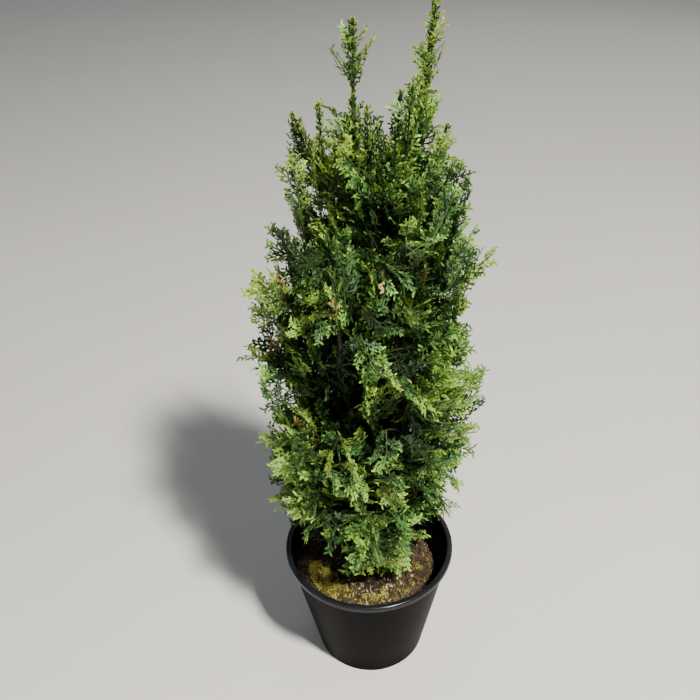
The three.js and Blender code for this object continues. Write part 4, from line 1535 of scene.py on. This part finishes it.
def leaf_mesh(name, rows, plain):
    """One joined mesh of branchlets, with a UV map that runs along each; plain ones are flat."""
    start, way, across, facing = rows[:, 0:3], rows[:, 3:6], rows[:, 6:9], rows[:, 9:12]
    length, width, bend = rows[:, 12:13], rows[:, 13:14], rows[:, 14:15]

    def at(share, side, rise):
        """A place on every branchlet: its share of the way along, its side and its rise."""
        swerve = bend * share**2 * length
        return start + way * (share * length) + across * (swerve + side * width / 2) + facing * rise

    if plain:
        corners = [at(0.0, 0.0, 0.0), at(0.6, 1.0, 0.0), at(0.6, -1.0, 0.0), at(1.0, 0.0, 0.0)]
        spots = [(0.5, 0.0), (1.0, 0.6), (0.0, 0.6), (0.5, 1.0)]
        faces = [(0, 2, 1), (1, 2, 3)]
    else:
        corners = [at(0.0, 0.6, 0.0), at(0.0, -0.6, 0.0), at(0.6, 1.0, 0.0), at(0.55, 0.0, RIDGE)]
        corners += [at(0.6, -1.0, 0.0), at(1.0, 0.38, 0.0), at(1.0, -0.38, 0.0)]
        spots = [(0.8, 0.0), (0.2, 0.0), (1.0, 0.6), (0.5, 0.55), (0.0, 0.6), (0.72, 1.0), (0.28, 1.0)]
        faces = [(0, 3, 2), (0, 1, 3), (1, 4, 3), (2, 3, 5), (3, 6, 5), (3, 4, 6)]
    count, each = len(rows), len(corners)
    points = np.stack(corners, axis=1).reshape(-1, 3)
    loops = np.array(faces).ravel()
    all_loops = (loops[None] + (np.arange(count) * each)[:, None]).ravel()
    starts = np.arange(count * len(faces)) * 3
    mesh = bpy.data.meshes.new(name)
    mesh.vertices.add(len(points))
    mesh.vertices.foreach_set("co", points.ravel())
    mesh.loops.add(len(all_loops))
    mesh.loops.foreach_set("vertex_index", all_loops.astype(np.int32))
    mesh.polygons.add(len(starts))
    mesh.polygons.foreach_set("loop_start", starts.astype(np.int32))
    mesh.update(calc_edges=True)
    layer = mesh.uv_layers.new(name="along")
    uv = np.tile(np.array(spots)[loops], (count, 1)).reshape(count, -1, 2)
    uv[..., 1] *= length / SCALE_LONG
    layer.data.foreach_set("uv", uv.astype(np.float32).ravel())
    return mesh


def leaf_material(name, colour):
    """Green of one tint, a little lighter and darker from place to place, with the scales in relief."""
    darker, lighter = [c * PAINT_DARKER for c in colour], [min(1, c * PAINT_LIGHTER) for c in colour]
    material = worn(name, darker, lighter, 1, 130, (0.4, 0.6), 0, 0.25)
    tree = material.node_tree
    along = tree.nodes.new("ShaderNodeUVMap")
    along.uv_map = "along"
    scales = tree.nodes.new("ShaderNodeTexWave")
    scales.bands_direction = "Y"
    scales.wave_profile = "SAW"
    scales.inputs["Scale"].default_value = 0.32
    scales.inputs["Distortion"].default_value = 0
    relief = tree.nodes.new("ShaderNodeBump")
    relief.inputs["Distance"].default_value = 0.0003
    relief.inputs["Strength"].default_value = 0.6
    tree.links.new(along.outputs["UV"], scales.inputs["Vector"])
    tree.links.new(scales.outputs["Fac"], relief.inputs["Height"])
    tree.links.new(relief.outputs["Normal"], tree.nodes["Principled BSDF"].inputs["Normal"])
    return material


for name, colour, *_ in PAINTS:
    rows = np.concatenate(dealt[name])
    material = leaf_material(name, colour)
    plain = name == INNER_SHADE_PAINT[0]
    parts = max(1, math.ceil(len(rows) * (2 if plain else 6) / PIECE_TRIANGLES))
    for part, portion in enumerate(np.array_split(rows, parts)):
        title = name if parts == 1 else f"{name}_{part + 1}"
        piece = placed(title, leaf_mesh(title, portion, plain))
        piece.data.materials.append(material)
        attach(piece, "root")
        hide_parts(*MASS_NAMES)

# Stage: a plain pale floor, a soft key light from the front right and high up, and soft fills from
# the front left and from behind
FLOOR_HALF = 12
KEY_DISTANCE = 2.6
FILL_DISTANCE = 3.0
FILL_SIZE = 2.5
bm = bmesh.new()
bmesh.ops.create_grid(bm, x_segments=1, y_segments=1, size=FLOOR_HALF)
floor = modelled("floor", bm)
floor.data.materials.append(
    worn("floor", (0.62, 0.6, 0.57), (0.56, 0.54, 0.51), 0.5, 1.5, (0.8, 0.95), 0, 0.3)
)
floor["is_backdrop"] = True


def area_light(name, way, distance, size, power, colour):
    """A square soft light that looks at the crown's middle from a given way."""
    data = bpy.data.lights.new(name, "AREA")
    data.size = size
    data.energy = power
    data.color = colour
    light = placed(name, data)
    middle = (cad_low + cad_high) / 2
    light.location = middle + Vector(way).normalized() * distance
    light.rotation_mode = "QUATERNION"
    light.rotation_quaternion = (light.location - middle).to_track_quat("Z", "Y")


area_light("key", SUN, KEY_DISTANCE, 0.25, 205, (1.0, 0.96, 0.88))
area_light("fill", (-0.8, -0.7, 0.6), FILL_DISTANCE, FILL_SIZE, 13, (0.95, 0.97, 0.95))
area_light("back", (0.5, 0.9, 0.55), FILL_DISTANCE, FILL_SIZE, 11, (1.0, 0.98, 0.94))
world = bpy.data.worlds.new("studio")
bpy.context.scene.world = world
world.use_nodes = True
sky = world.node_tree.nodes["Background"]
sky.inputs["Color"].default_value = (0.8, 0.88, 1.0, 1)
sky.inputs["Strength"].default_value = 0.2

# Camera: stands where the picture is seen from, at the same slope and roll, and sees as wide
SENSOR = 36
camera_data = bpy.data.cameras.new("camera")
camera_data.sensor_width = SENSOR
camera_data.lens = SENSOR * FOCAL_PIXELS / PICTURE
camera = placed("camera", camera_data)
camera_turn = Matrix((view_right, view_up, -view_ahead)).transposed()
camera.matrix_world = Matrix.Translation(EYE) @ camera_turn.to_4x4()
bpy.context.scene.camera = camera

low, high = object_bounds()
